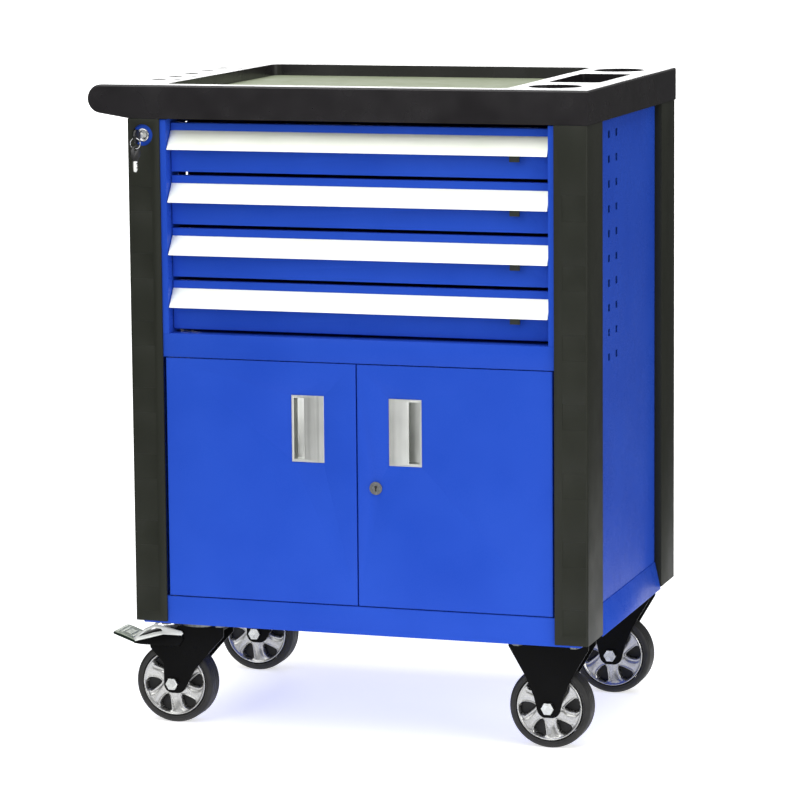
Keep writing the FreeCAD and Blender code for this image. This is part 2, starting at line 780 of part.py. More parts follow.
def door_pull(name, right):
    """A flush pull: a bezel and a cup with a finger channel beside a flat plate."""
    left, end = "pull_left", "pull_left + pull_width"
    low, high = "pull_bottom", "pull_bottom + pull_height"
    gap = "pull_bezel + fit"
    face = "face_inset"
    bezel = hand_block((left, f"{face} - 0.8", low), (end, face, high), right)
    cup = hand_block(
        (f"{left} + {gap}", f"{face} - 0.8", f"{low} + {gap}"),
        (f"{end} - ({gap})", f"{face} + pull_depth", f"{high} - ({gap})"),
        right,
    )
    inset = f"{gap} + pull_wall"
    cavity = hand_block(
        (f"{left} + {inset}", f"{face} + pull_wall", f"{low} + {inset}"),
        (f"{end} - ({inset})", f"{face} + pull_depth - pull_wall", f"{high} - ({inset})"),
        right,
    )
    mouth = hand_block(
        (f"{left} + {inset}", f"{face} - 1", f"{low} + {inset}"),
        (f"{left} + {inset} + pull_mouth", f"{face} + 2 * pull_wall", f"{high} - ({inset})"),
        right,
    )
    return sub_part(name, cut(join(bezel, cup), cavity, mouth))


def hinge_pins():
    """Pins standing on the base and hanging from the rail, one above each other."""
    pins = []
    for across in ("pivot_across", right_hand("pivot_across")):
        for foot in ("base_height", "rail_bottom - pin_reach"):
            pins.append(rod((across, "pivot_back", foot), "pin_radius", "pin_reach"))
    return sub_part("hinge_pins", group(*pins))


# ---- locks -------------------------------------------------------------------------------


def lock_barrel(name, across, up, body, flange, nut, sheet_face):
    """A flanged barrel and its hexagon nut, bored for the plug."""
    solid = join(
        rod((across, f"{sheet_face} - 2", up), flange, "2", "y"),
        rod((across, sheet_face, up), body, "18", "y"),
        rod((across, f"{sheet_face} + steel + fit", up), nut, "4", "y", sides=6),
    )
    hole = rod((across, f"{sheet_face} - 3", up), "plug_radius + plug_fit", "23", "y")
    return sub_part(name, cut(solid, hole))


def door_lock():
    lock_barrel("door_lock_barrel", "lock_across", "lock_up", "lock_body", "lock_flange",
                "lock_body + 4", "face_inset")
    plug = rod(("lock_across", "face_inset - 1.8", "lock_up"), "plug_radius", "door_depth + 3.3", "y")
    cam = block(
        ("lock_across - 6", "face_inset + door_depth + 1.5", "lock_up - cam_reach"),
        ("lock_across + 6", "face_inset + door_depth + 4", "lock_up + 7"),
    )
    keyway = block(
        ("lock_across - 0.7", "face_inset - 2", "lock_up - 3.2"),
        ("lock_across + 0.7", "face_inset + 2.2", "lock_up + 3.2"),
    )
    sub_part("door_lock_cam", cut(join(plug, cam), keyway))


def drawer_lock():
    """The keyed lock in the front left post and the bar that it lifts."""
    lock_barrel("drawer_lock_barrel", "keyed_across", "keyed_up", "keyed_body", "keyed_flange",
                "keyed_body + 1.4", "face_inset + fit")
    plug = rod(("keyed_across", "face_inset - 1.5", "keyed_up"), "plug_radius", "22", "y")
    arm = block(
        ("keyed_across - 5", "face_inset + 20.5", "keyed_up - 4"),
        ("keyed_across + crank + 3", "face_inset + 22.5", "keyed_up + 4"),
    )
    peg = rod(("keyed_across + crank", "face_inset + 22.5", "keyed_up"), "2", "5", "y")
    sub_part("drawer_lock_plug", join(plug, arm, peg))
    head = block(
        ("keyed_across - 6", "face_inset + 23.5", "keyed_up - 9"),
        ("keyed_across + 19", "face_inset + 25.5", "keyed_up + 8.5"),
    )
    window = block(
        ("keyed_across - 3", "face_inset + 23.5", "keyed_up - 5"),
        ("keyed_across + crank + 3", "face_inset + 25.5", "keyed_up + 5"),
    )
    strip = block(
        ("keyed_across + 11", "face_inset + 23.5", "rail_top + 8"),
        ("keyed_across + 19", "face_inset + 25.5", "keyed_up - 8"),
    )
    sub_part("drawer_lock_bar", join(cut(head, window), strip))


def key_head(out, up, hole_out, hole_up):
    """A round key head standing in the YZ plane, with its ring hole."""
    disc = rod(("-bow_thick / 2", f"-({out})", up), "bow_radius", "bow_thick", "x")
    hole = rod(("-bow_thick", f"-({hole_out})", hole_up), "bow_hole", "bow_thick * 2", "x")
    return disc, hole


def keys():
    """The key in the lock, the ring through its head and the spare that hangs from it."""
    place = {"x": "keyed_across", "z": "keyed_up"}
    disc, hole = key_head("bow_out", "0", "bow_out + bow_hole_out", "0")
    shank = block(("-1", "-(bow_out - bow_radius + 1)", "-4"), ("1", "face_inset - 1.5", "4"))
    sub_part("drawer_lock_key", cut(join(disc, shank), hole), **place)

    slack = "(bow_hole - ring_wire - 0.15)"
    out = "bow_out + bow_hole_out"
    ring = doc.addObject("Part::Torus", "ring")
    ring.Placement.Rotation = TURNS["y"]
    bind(
        ring,
        Radius1="ring_radius",
        Radius2="ring_wire",
        Placement__Base__y=f"-({out})",
        Placement__Base__z=f"-{slack} - ring_radius",
    )

    hole_up = f"-2 * {slack} - 2 * ring_radius"
    disc, hole = key_head(out, f"{hole_up} - bow_hole_out", out, hole_up)
    tip = f"{hole_up} - bow_hole_out - bow_radius - blade_length"
    blade = block(("-1", f"-({out}) - 3.5", tip), ("1", f"-({out}) + 3.5", f"{tip} + blade_length + 1"))
    sub_part("spare_key_on_ring", group(ring, cut(join(disc, blade), hole)), **place)


# ---- top tray -------------------------------------------------------------------------------


def profile(inset):
    """The tray's cross-section: flat top, round push handle, sloping underside."""
    top = number("case_height + tray_seat + tray_height") - inset
    bottom = number("case_height + tray_seat") + inset
    right = number("case_width + tray_proud") - inset
    radius = number("nose_radius") - inset
    nose = V(number("nose_radius - nose_reach"), 0, top - radius)
    heel = V(0, 0, bottom)
    reach = heel - nose
    lean = math.atan2(reach.z, reach.x) - math.acos(radius / math.hypot(reach.x, reach.z))

    def on_nose(angle):
        return nose + V(radius * math.cos(angle), 0, radius * math.sin(angle))

    crown, under = on_nose(math.pi / 2), on_nose(lean)
    middle = on_nose((math.pi / 2 + lean) / 2 + math.pi)
    corners = [heel, V(right, 0, bottom), V(right, 0, top), crown]
    edges = [Part.makeLine(a, b) for a, b in zip(corners, corners[1:])]
    edges.append(Part.Arc(crown, middle, under).toShape())
    edges.append(Part.makeLine(under, heel))
    return Part.Face(Part.Wire(edges))


def pillar_of(outline, low, high):
    """A flat outline raised between two heights."""
    face = Part.Face(outline)
    face.translate(V(0, 0, low))
    return face.extrude(V(0, 0, high - low))


def rounded_plan(left, right, front, back, radius):
    """The outline of a rectangle with round corners, from five rules."""
    left, right, front, back, radius = map(number, (left, right, front, back, radius))
    box = Part.makeBox(right - left, back - front, 1, V(left, front, 0))
    corners = [edge for edge in box.Edges if upright(*[v.Point for v in edge.Vertexes])]
    lower = min(box.makeFillet(radius, corners).Faces, key=lambda face: face.CenterOfMass.z)
    return lower.OuterWire


def round_plan(across, back, radius):
    centre = V(number(across), number(back), 0)
    return Part.Wire(Part.makeCircle(number(radius), centre))


def top_tray():
    """A hollow moulding with a well, a pocket, bottle holders and tool holes."""
    top = number("case_height + tray_seat + tray_height")
    bottom = number("case_height + tray_seat")
    wall = number("tray_wall")
    back = number("case_depth + tray_proud")
    shell = profile(0).extrude(V(0, back, 0))
    inside = profile(wall)
    inside.translate(V(0, wall, 0))
    inside = inside.extrude(V(0, back - 2 * wall, 0))
    right = number("case_width + tray_proud")
    height = top - wall - bottom + 1
    under = Part.makeBox(right - 2 * wall, back - 2 * wall, height, V(wall, wall, bottom - 1))
    shell = shell.cut(inside.fuse(under))

    recesses = []

    def recess(plan, depth):
        recesses.append((plan, number(depth)))

    recess(lambda grow: rounded_plan(
        f"well_left - {grow}", f"well_right + {grow}", f"well_rim - {grow}",
        f"case_depth - well_rim + {grow}", f"well_round + {grow}"), "well_depth")
    recess(lambda grow: rounded_plan(
        f"pocket_left - {grow}", f"pocket_right + {grow}", f"pocket_front - {grow}",
        f"pocket_back + {grow}", f"pocket_round + {grow}"), "pocket_depth")
    for place in ("cup_inset", "case_depth - cup_inset"):
        recess(lambda grow, place=place: round_plan("cup_across", place, f"cup_radius + {grow}"), "cup_depth")
    for count in range(TOOL_HOLES):
        place = f"hole_first + hole_pitch * {count}"
        for across, radius in (("driver_across", "driver_hole"), ("bit_across", "bit_hole")):
            recess(lambda grow, across=across, radius=radius, place=place: round_plan(
                across, place, f"{radius} + {grow}"), "hole_depth")
    for plan, depth in recesses:
        shell = shell.fuse(pillar_of(plan(wall), top - depth - wall, top - wall / 2))
    for plan, depth in recesses:
        shell = shell.cut(pillar_of(plan(0), top - depth, top + 1))
    shell = shell.removeSplitter()

    def outer_rim(edge):
        points = [vertex.Point for vertex in edge.Vertexes]
        if len(points) != 2 or any(abs(p.z - top) > 0.01 for p in points):
            return False
        ends = (0, back)
        along_side = any(all(abs(p.y - end) < 0.01 for p in points) for end in ends)
        return along_side or all(abs(p.x - right) < 0.01 for p in points)

    shell = shell.makeFillet(number("tray_round"), [edge for edge in shell.Edges if outer_rim(edge)])
    tray = doc.addObject("Part::Feature", "tray")
    tray.Shape = shell
    return sub_part("top_tray", tray)


def tray_mat():
    """A flat mat with round corners lying in the well."""
    body = new_body()
    left, right = "well_left + mat_gap", "well_right - mat_gap"
    front, back = "well_rim + mat_gap", "case_depth - well_rim - mat_gap"
    floor = "case_height + tray_seat + tray_height - well_depth"
    plan = sketch(body, "XY_Plane", [[(left, front), (right, front), (right, back), (left, back)]], floor)
    pad(body, plan, "mat_thick")
    fillet(body, "well_round - mat_gap", upright)
    return sub_part("tray_mat", body)


# ---- casters ------------------------------------------------------------------------------------

def caster_plate():
    """A swivel caster's top plate and the bearing under it, at its own origin."""
    under = "-(plate_gap + plate_thick)"
    plate = block(
        ("-plate_long / 2", "-plate_wide / 2", under),
        ("plate_long / 2", "plate_wide / 2", "-plate_gap"),
    )
    race = rod(("0", "0", "-race_bottom"), "race_radius", "race_bottom - plate_gap")
    holes = [rod((x, y, "-race_bottom"), "bolt_hole", "race_bottom") for x, y in bolt_places()]
    king = rod(("0", "0", "-race_bottom - 1"), "king_radius + axle_fit", "race_bottom + 2")
    return cut(join(plate, race), *holes, king)


def placed(thing, x, y, z="0"):
    """A piece drawn at its own origin, moved to case coordinates inside a group."""
    bind(thing, Placement__Base__x=x, Placement__Base__y=y, Placement__Base__z=z)
    return thing


def fork_cheeks(body, outline, inner_top, middle):
    """Pad a fork's side view, hollow it for the wheel and bore it for the axle."""
    pad(body, sketch(body, "XZ_Plane", [outline]), "fork_half * 2", both_ways=True)
    axle = f"-{AXLE_DROP}"
    low = number(f"-{AXLE_DROP} - fork_tip") + 0.01
    fillet(body, "fork_tip * 0.9", lambda a, b: a.z < low and b.z < low and abs(a.x - b.x) < 0.01)
    wide = "fixed_long"
    room = [(f"-{wide}", inner_top), (wide, inner_top), (wide, "-case_bottom"), (f"-{wide}", "-case_bottom")]
    pocket(body, sketch(body, "XZ_Plane", [room]), "(fork_half - fork_wall) * 2", both_ways=True)
    bore = sketch(body, "XZ_Plane", [("circle", middle, axle, "axle_radius + axle_fit / 2")])
    pocket(body, bore, "fork_half * 3", both_ways=True)


def swivel_fork(name, axle):
    """Crown, king pin and two cheeks, trailing to the left of the swivel axis."""
    crown = "-(race_bottom + slide_gap)"
    tip = f"-{AXLE_DROP} - fork_tip"
    outline = [
        ("-26", crown),
        ("38", crown),
        ("38", "-26"),
        ("24", "-41"),
        ("-3", "-72"),
        ("-trail + fork_tip", tip),
        ("-trail - fork_tip", tip),
        ("-trail - fork_tip", "-66"),
        ("-66", "-46"),
        ("-68", "-35"),
        ("-30", "-21"),
    ]
    body = new_body()
    fork_cheeks(body, outline, f"{crown} - plate_thick", "-trail")
    king = sketch(body, "XY_Plane", [("circle", "0", "0", "king_radius")], f"{crown} - 1")
    pad(body, king, "race_bottom + slide_gap")
    pivot = sketch(body, "XZ_Plane", [("circle", "-brake_back", "-brake_down", "pin_radius + axle_fit")])
    pocket(body, pivot, "fork_half * 3", both_ways=True)
    return sub_part(name, body, x="swivel_across", y=axle)


def fixed_fork():
    """A rigid fork with its bolting plate."""
    under = "-(plate_gap + plate_thick)"
    tip = f"-{AXLE_DROP} - fork_tip"
    half = "fixed_long / 2"
    outline = [
        (f"-{half}", "-plate_gap"),
        (half, "-plate_gap"),
        (half, "-14"),
        ("30", "-54"),
        ("fork_tip + 7", "-78"),
        ("fork_tip", tip),
        ("-fork_tip", tip),
        ("-fork_tip - 7", "-78"),
        ("-30", "-54"),
        (f"-{half}", "-14"),
    ]
    body = new_body()
    fork_cheeks(body, outline, under, "0")
    wide = "plate_wide / 2"
    plan = [(f"-{half}", f"-{wide}"), (half, f"-{wide}"), (half, wide), (f"-{half}", wide)]
    pad(body, sketch(body, "XY_Plane", [plan], under), "plate_thick")
    holes = [("circle", x, y, "bolt_hole") for x, y in bolt_places()]
    pocket(body, sketch(body, "XY_Plane", holes), "plate_gap + plate_thick + 1")
    return body


def axle_bolt():
    """Hexagon-headed axle bolt and its nut, along Y through the wheel's middle."""
    head = rod(("0", "-fork_half - fit - 6", "0"), "axle_radius * 1.7", "6", "y", sides=6)
    shank = rod(("0", "-fork_half - fit - 1", "0"), "axle_radius", "2 * (fork_half + fit + 1)", "y")
    nut = rod(("0", "fork_half + fit", "0"), "axle_radius * 1.7", "6", "y", sides=6)
    return join(head, shank, nut)


def tyre(name, x, y):
    """A solid rubber tyre with rounded shoulders."""
    half = "tyre_width / 2"
    outline = [
        ("rim_radius", f"-{half}"),
        ("tyre_radius - 5", f"-{half}"),
        ("tyre_radius", f"-{half} + 6"),
        ("tyre_radius", f"{half} - 6"),
        ("tyre_radius - 5", half),
        ("rim_radius", half),
    ]
    body = new_body()
    revolve(body, sketch(body, "XY_Plane", [outline]))
    return sub_part(name, body, x=x, y=y, z=f"(-{AXLE_DROP})")


def revolve(body, drawing):
    feature = body.newObject("PartDesign::Revolution", "turned")
    feature.Profile = drawing
    feature.ReferenceAxis = (drawing, ["V_Axis"])
    feature.Angle = 360
    doc.recompute()
    return feature


def hub(name, x, y):
    """A moulded wheel centre; six deep pockets on each side leave its spokes."""
    outline = [
        ("axle_radius + axle_fit", "-hub_half"),
        ("boss_radius", "-hub_half"),
        ("boss_radius", "-web_half"),
        ("rim_radius - rim_wall", "-web_half"),
        ("rim_radius - rim_wall", "-tyre_width / 2 + 1"),
        ("rim_radius", "-tyre_width / 2 + 1"),
        ("rim_radius", "tyre_width / 2 - 1"),
        ("rim_radius - rim_wall", "tyre_width / 2 - 1"),
        ("rim_radius - rim_wall", "web_half"),
        ("boss_radius", "web_half"),
        ("boss_radius", "hub_half"),
        ("axle_radius + axle_fit", "hub_half"),
    ]
    body = new_body()
    revolve(body, sketch(body, "XY_Plane", [outline]))
    inner, outer = "boss_radius + 5", "rim_radius - rim_wall - 3"
    low = [("-3", inner), ("3", inner)]
    window = low + [("11", f"{outer} - 4"), ("7", outer), ("-7", outer), ("-11", f"{outer} - 4")]
    for side, backwards in (("", False), ("-", True)):
        drawing = sketch(body, "XZ_Plane", [window], f"{side}web_half")
        first = pocket(body, drawing, "web_half - core_half", backwards=backwards)
        ring = body.newObject("PartDesign::PolarPattern", "pockets")
        ring.Originals = [first]
        ring.Axis = (drawing, ["N_Axis"])
        ring.Angle = 360
        ring.Occurrences = 6
        body.Tip = ring
        doc.recompute()
    return sub_part(name, body, x=x, y=y, z=f"(-{AXLE_DROP})")


def brake(name, axle):
    """A foot lever between the cheeks: pivot pin, arm with its shoe, and wide pedal."""
    arm = [
        ("-brake_back + 5", "-brake_down + 4"),
        ("-brake_back + 5", "-brake_down - 4"),
        ("-brake_back - 26", "-brake_down - 5"),
        ("-brake_back - 27", "-37"),
        ("-brake_back - 38", "-38"),
        ("-brake_back - 40", "-32"),
        ("-brake_reach + pad_length", "-42"),
        ("-brake_reach + pad_length - 2", "-35"),
        ("-62", "-12.5"),
        ("-50", "-13.5"),
        ("-brake_back - 11", "-brake_down + 6"),
    ]
    pedal = [
        ("-brake_reach + pad_length + 3", "-41.5"),
        ("-brake_reach + pad_length + 2", "-34"),
        ("-brake_reach + 1", "-24.5"),
        ("-brake_reach", "-30.5"),
    ]
    body = new_body()
    pad(body, sketch(body, "XZ_Plane", [arm]), "(fork_half - fork_wall) * 2 - 6", both_ways=True)
    pad(body, sketch(body, "XZ_Plane", [pedal]), "pedal_half * 2", both_ways=True)
    pin = sketch(body, "XZ_Plane", [("circle", "-brake_back", "-brake_down", "pin_radius")])
    pad(body, pin, "fork_half * 2 + 2", both_ways=True)
    return sub_part(name, body, x="swivel_across", y=axle)


def caster_bolt(x, y):
    """A hexagon bolt up through plate and channel, with its nut inside the base."""
    under = "-(plate_gap + plate_thick)"
    head = rod((x, y, f"{under} - 5.5"), "bolt_head", "5.5", sides=6)
    shank = rod((x, y, f"{under} - 1"), "bolt_radius", "plate_gap + plate_thick + 9")
    nut = rod((x, y, "channel_steel"), "bolt_head", "6", sides=6)
    return join(head, shank, nut)


def casters():
    plates, bolts, forks, axles = [], [], [], []
    for end, axle in ENDS.items():
        plates.append(placed(caster_plate(), "swivel_across", axle))
        swivel_fork(f"swivel_fork_{end}", axle)
        sub_part(f"swivel_axle_{end}", axle_bolt(), x="swivel_across - trail", y=axle, z=f"(-{AXLE_DROP})")
        brake(f"brake_pedal_{end}", axle)
        forks.append(placed(fixed_fork(), "fixed_across", axle))
        axles.append(placed(axle_bolt(), "fixed_across", axle, f"-{AXLE_DROP}"))
        for side, across in (("left", "swivel_across - trail"), ("right", "fixed_across")):
            tyre(f"tyre_{end}_{side}", across, axle)
            hub(f"hub_{end}_{side}", across, axle)
        for middle in ("swivel_across", "fixed_across"):
            bolts += [caster_bolt(f"{middle} + {x}", f"{axle} + {y}") for x, y in bolt_places()]
    sub_part("swivel_caster_plates", group(*plates))
    sub_part("fixed_caster_forks", group(*forks))
    sub_part("fixed_caster_axles", group(*axles))
    sub_part("caster_bolts", group(*bolts))


# ---- build, check and write ------------------------------------------------------------------------


def build():
    for rear in (False, True):
        for right in (False, True):
            corner_post(f"post_{'rear' if rear else 'front'}_{'right' if right else 'left'}", right, rear)
    for right in (False, True):
        side = "right" if right else "left"
        side_panel(f"side_panel_{side}", right)
        door(f"door_{side}_panel", right)
        door_pull(f"door_{side}_pull", right)
    back_panel()
    base_pan()
    caster_channels()
    divider_shelf()
    slide_pillars()
    drawers()
    hinge_pins()
    door_lock()
    drawer_lock()
    keys()
    top_tray()
    tray_mat()
    casters()
    doc.recompute()


def check():
    """Stop before writing if anything in the document failed."""
    failed = [item.Label for item in doc.Objects if {"Invalid", "Error"} & set(item.State)]
    failed += [item.Label for item in PARTS if item.Shape.isNull() or not item.Shape.isValid()]
    if failed:
        raise RuntimeError(f"failed: {failed}")


def write():
    os.makedirs("parts", exist_ok=True)
    for item in PARTS:
        item.Shape.exportStep(f"parts/{item.Label}.step")
        box = item.Shape.BoundBox
        print(f"{item.Label:24s} solids {len(item.Shape.Solids):2d}  "
              f"x {box.XMin:7.1f} {box.XMax:7.1f}  y {box.YMin:7.1f} {box.YMax:7.1f}  "
              f"z {box.ZMin:7.1f} {box.ZMax:7.1f}")
    print(len(PARTS), "sub-parts")


build()
check()
write()
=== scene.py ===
# %% [markdown]
# # A rolling tool chest, dressed for its portrait
#
# The imported model already holds every working piece at its real size: sheets, drawers,
# posts, locks and casters. This lesson gives those pieces their finishes and makes, one
# by one, what a plain working solid can't show, such as the swirled wheel covers, the
# embossed foot plates and the keys. Everything is in metres.

# %% Load the working model
import json
import math
import bmesh
import bpy
from mathutils import Matrix, Vector


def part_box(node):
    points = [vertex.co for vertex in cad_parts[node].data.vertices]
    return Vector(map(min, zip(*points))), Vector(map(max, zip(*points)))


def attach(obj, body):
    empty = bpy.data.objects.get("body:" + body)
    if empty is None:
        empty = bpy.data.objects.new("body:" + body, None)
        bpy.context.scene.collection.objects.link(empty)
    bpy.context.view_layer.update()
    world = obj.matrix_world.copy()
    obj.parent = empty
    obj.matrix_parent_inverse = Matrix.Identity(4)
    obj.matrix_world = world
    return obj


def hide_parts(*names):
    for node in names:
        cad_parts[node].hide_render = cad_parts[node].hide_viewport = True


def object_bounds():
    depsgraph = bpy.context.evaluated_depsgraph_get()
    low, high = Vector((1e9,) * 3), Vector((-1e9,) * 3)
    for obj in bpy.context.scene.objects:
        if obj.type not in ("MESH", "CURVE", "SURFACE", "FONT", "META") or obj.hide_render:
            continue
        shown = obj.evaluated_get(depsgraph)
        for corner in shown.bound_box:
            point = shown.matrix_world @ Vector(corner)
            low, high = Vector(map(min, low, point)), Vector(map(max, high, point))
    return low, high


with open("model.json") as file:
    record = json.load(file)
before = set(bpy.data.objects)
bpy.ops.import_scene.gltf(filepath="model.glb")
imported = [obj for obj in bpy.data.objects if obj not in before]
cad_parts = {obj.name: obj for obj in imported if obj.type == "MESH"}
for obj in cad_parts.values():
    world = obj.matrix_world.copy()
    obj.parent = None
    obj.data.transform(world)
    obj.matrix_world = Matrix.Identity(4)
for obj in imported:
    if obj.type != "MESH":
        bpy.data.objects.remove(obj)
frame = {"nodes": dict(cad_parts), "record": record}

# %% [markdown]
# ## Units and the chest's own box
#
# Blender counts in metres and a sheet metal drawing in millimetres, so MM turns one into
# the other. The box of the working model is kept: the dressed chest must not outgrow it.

MM = 0.001
RECORD = frame["record"]
CAD_LOW, CAD_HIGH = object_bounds()
print("nodes", len(frame["nodes"]), "box", [round(side, 4) for side in CAD_HIGH - CAD_LOW])

# %% [markdown]
# ## Colours and nodes
#
# Colours are written as the hex values that a paint card or a screen shows. Light adds
# up in linear values, so one function turns hex to linear. A second small function adds
# a shader node with its settings and wires it, which keeps each finish short to read.

# %% Two helpers for every finish
def linear(text):
    """A hex colour such as #2A4FC0 as linear red, green, blue and alpha."""
    values = [int(text[i : i + 2], 16) / 255 for i in (1, 3, 5)]
    return [v / 12.92 if v <= 0.04045 else ((v + 0.055) / 1.055) ** 2.4 for v in values] + [1.0]


def feed(node, inputs):
    """Give each named or numbered input its value, or a wire from another node."""
    for name, value in inputs.items():
        if isinstance(value, bpy.types.NodeSocket):
            node.id_data.links.new(value, node.inputs[name])
        else:
            node.inputs[name].default_value = value


def add_node(material, kind, inputs=None, **settings):
    """Add one shader node with its settings and links."""
    node = material.node_tree.nodes.new("ShaderNode" + kind)
    for name, value in settings.items():
        setattr(node, name, value)
    feed(node, inputs or {})
    return node


print("mid blue in linear values", [round(v, 3) for v in linear("#2A4FC0")])

# %% [markdown]
# ## Unevenness
#
# No real surface is one flat value. A noise texture gives a value that drifts over
# patches of a real size, because its scale is simply one over the patch size when the
# model is in metres. Stretching the space first turns round patches into long lines.

# %% Patches
def new_material(name, constants):
    """A material with these constant values on its shader."""
    material = bpy.data.materials.new(name)
    material.use_nodes = True
    shader = material.node_tree.nodes["Principled BSDF"]
    feed(shader, constants)
    return material, shader


def drift(material, size, low, high, stretch=(1, 1, 1), detail=2.0):
    """A value that wanders between low and high over patches of a size in metres."""
    place = add_node(material, "TexCoord")
    pulled = add_node(material, "Mapping", {"Vector": place.outputs["Object"], "Scale": stretch})
    cloud = add_node(
        material, "TexNoise", {"Vector": pulled.outputs[0], "Scale": 1 / size, "Detail": detail}
    )
    # A noise rarely leaves the middle of its range, so that middle is spread out.
    spread = {"From Min": 0.3, "From Max": 0.7, "To Min": low, "To Max": high}
    return add_node(material, "MapRange", {"Value": cloud.outputs[0], **spread}).outputs[0]


print("a 4 mm patch has a noise scale of", round(1 / (4 * MM)))

# %% [markdown]
# ## One way to wire a finish
#
# Three things vary in every finish here: a tint between two near colours, how rough the
# skin is, and one or two shallow reliefs, whose depths are real ones in metres. One
# function wires the three, and another remembers which finish belongs to which slot.

# %% Wiring and slots
MATERIALS = {}


def finish(material, shader, colours, blend, roughness, reliefs):
    """Wire a tint between two hex colours, a roughness and (height, depth) reliefs."""
    factor, start, end, colour = 0, 6, 7, 2
    inputs = {factor: blend, start: linear(colours[0]), end: linear(colours[1])}
    mixed = add_node(material, "Mix", inputs, data_type="RGBA")
    varied = {"Base Color": mixed.outputs[colour], "Roughness": roughness}
    for height, depth in reliefs:
        bump = add_node(material, "Bump", {"Height": height, "Strength": 1.0, "Distance": depth})
        if "Normal" in varied:
            feed(bump, {"Normal": varied["Normal"]})
        varied["Normal"] = bump.outputs[0]
    feed(shader, varied)


def keep(slot, material):
    """Remember which finish belongs to a material slot of the record."""
    MATERIALS[slot] = material
    print(slot, "is", material.name)


print("slots to fill", len({part["material_slot"] for part in RECORD["subparts"]}))

# %% [markdown]
# ## Powder coat
#
# The case, the doors and the drawers are mild steel sprayed with blue powder and baked
# at 200 degrees. The melted skin is semi-gloss, and it keeps a faint orange peel. That
# peel is really 1 to 2 mm wide; it is drawn at 4 mm, so that it still shows at the
# distance of the portrait. The casters' forks get the same treatment in black. A resin
# skin has an index of refraction of about 1.5. Its mirror share is set low, because at
# the flat angle of the right side a full one turns the blue to grey.

# %% Powder coat
COAT_MIRROR = 0.04


def powder_coat(name, dark, light, roughness, peel_depth):
    """Baked powder paint: wide clouds of colour, worn patches, dust and orange peel."""
    material, shader = new_material(name, {"IOR": 1.5, "Specular IOR Level": COAT_MIRROR})
    cloud = drift(material, 140 * MM, 0, 1)
    peel = drift(material, 4 * MM, 0, 1, detail=1.0)
    dust = drift(material, 1.5 * MM, -0.03, 0.03)
    worn = drift(material, 45 * MM, roughness - 0.03, roughness + 0.04)
    rough = add_node(material, "Math", {0: worn, 1: dust})
    finish(material, shader, (dark, light), cloud, rough.outputs[0], [(peel, peel_depth)])
    return material


keep("blue_enamel", powder_coat("blue_powder_coat", "#264DBE", "#2C54C6", 0.28, 0.015 * MM))
keep("black_fork", powder_coat("black_baked_enamel", "#0B0B0B", "#121212", 0.3, 0.015 * MM))

# %% [markdown]
# ## Moulded plastic
#
# The top tray is injection moulded ABS with a fine leather grain from the mould, about
# 1 mm in life and drawn at 2.5 mm. It is glossy enough to mirror a bright room at a low
# angle, which is why its rim looks nearly white. The thumb latches are duller nylon and
# the key heads are small mouldings with an almost smooth skin.

# %% Moulded plastic
def moulded_plastic(name, dark, light, roughness, grain, grain_depth):
    """Injection moulded plastic: the mould's leather grain and a little wear."""
    material, shader = new_material(name, {"IOR": 1.54, "Specular IOR Level": 0.5})
    leather = drift(material, grain, 0, 1, detail=3.0)
    worn = drift(material, 70 * MM, roughness - 0.05, roughness + 0.06)
    cloud = drift(material, 30 * MM, 0, 1)
    finish(material, shader, (dark, light), cloud, worn, [(leather, grain_depth)])
    return material


MOULDINGS = (
    ("black_tray", "black_abs_leather_grain", "#1C1A1C", "#232123", 0.24, 2.5 * MM, 0.015 * MM),
    ("latch_plastic", "green_black_nylon", "#131A15", "#1B241D", 0.42, 2 * MM, 0.02 * MM),
    ("key_plastic", "black_key_head_abs", "#0E0E0E", "#181818", 0.3, 1.2 * MM, 0.01 * MM),
)
for slot, *look in MOULDINGS:
    keep(slot, moulded_plastic(*look))

# %% [markdown]
# ## Extruded plastic
#
# The corner posts are pushed through a die as one long profile, in a slightly browner
# plastic than the tray. The die leaves faint draw lines down their length, and the skin
# is dull. The lines are really well under a millimetre wide and are drawn at 4 mm.

# %% Extruded plastic
def extruded_plastic(name, dark, light, roughness):
    """Extruded plastic: draw lines along Z under a shallow leather grain."""
    material, shader = new_material(name, {"IOR": 1.54, "Specular IOR Level": 0.16})
    draw_lines = drift(material, 4 * MM, 0, 1, stretch=(1, 1, 0.02))
    leather = drift(material, 3 * MM, 0, 1)
    cloud = drift(material, 60 * MM, 0, 1, (1, 1, 0.3))
    worn = drift(material, 50 * MM, roughness - 0.04, roughness + 0.06)
    reliefs = [(draw_lines, 0.02 * MM), (leather, 0.03 * MM)]
    finish(material, shader, (dark, light), cloud, worn, reliefs)
    return material


keep("black_trim", extruded_plastic("brown_black_extrusion", "#22241D", "#2A2C25", 0.5))

# %% [markdown]
# ## Brushed metal
#
# A metal's colour is the colour of its mirror image, so the shader is fully metallic and
# the base colour is its reflectance. What tells metals apart is how they were finished.
# The drawer handles are satin anodised aluminium, brushed along their length, and the
# flush pulls are nickel plate brushed upright. A brush line is about 0.1 mm wide; the
# lines are drawn at 1.5 to 2 mm, or they would blur away at this distance.

# %% Brushed metal
def brushed_metal(name, dark, light, roughness, across, along, line_depth):
    """Fine scratches one way: thin across one axis and long on another."""
    material, shader = new_material(name, {"Metallic": 1.0})
    stretch = [1.0, 1.0, 1.0]
    stretch["xyz".index(along)] = 0.01
    scratches = drift(material, across, 0, 1, stretch, detail=3.0)
    cloud = drift(material, 40 * MM, 0, 1)
    worn = drift(material, across * 2, roughness - 0.05, roughness + 0.05, stretch)
    finish(material, shader, (dark, light), cloud, worn, [(scratches, line_depth)])
    return material


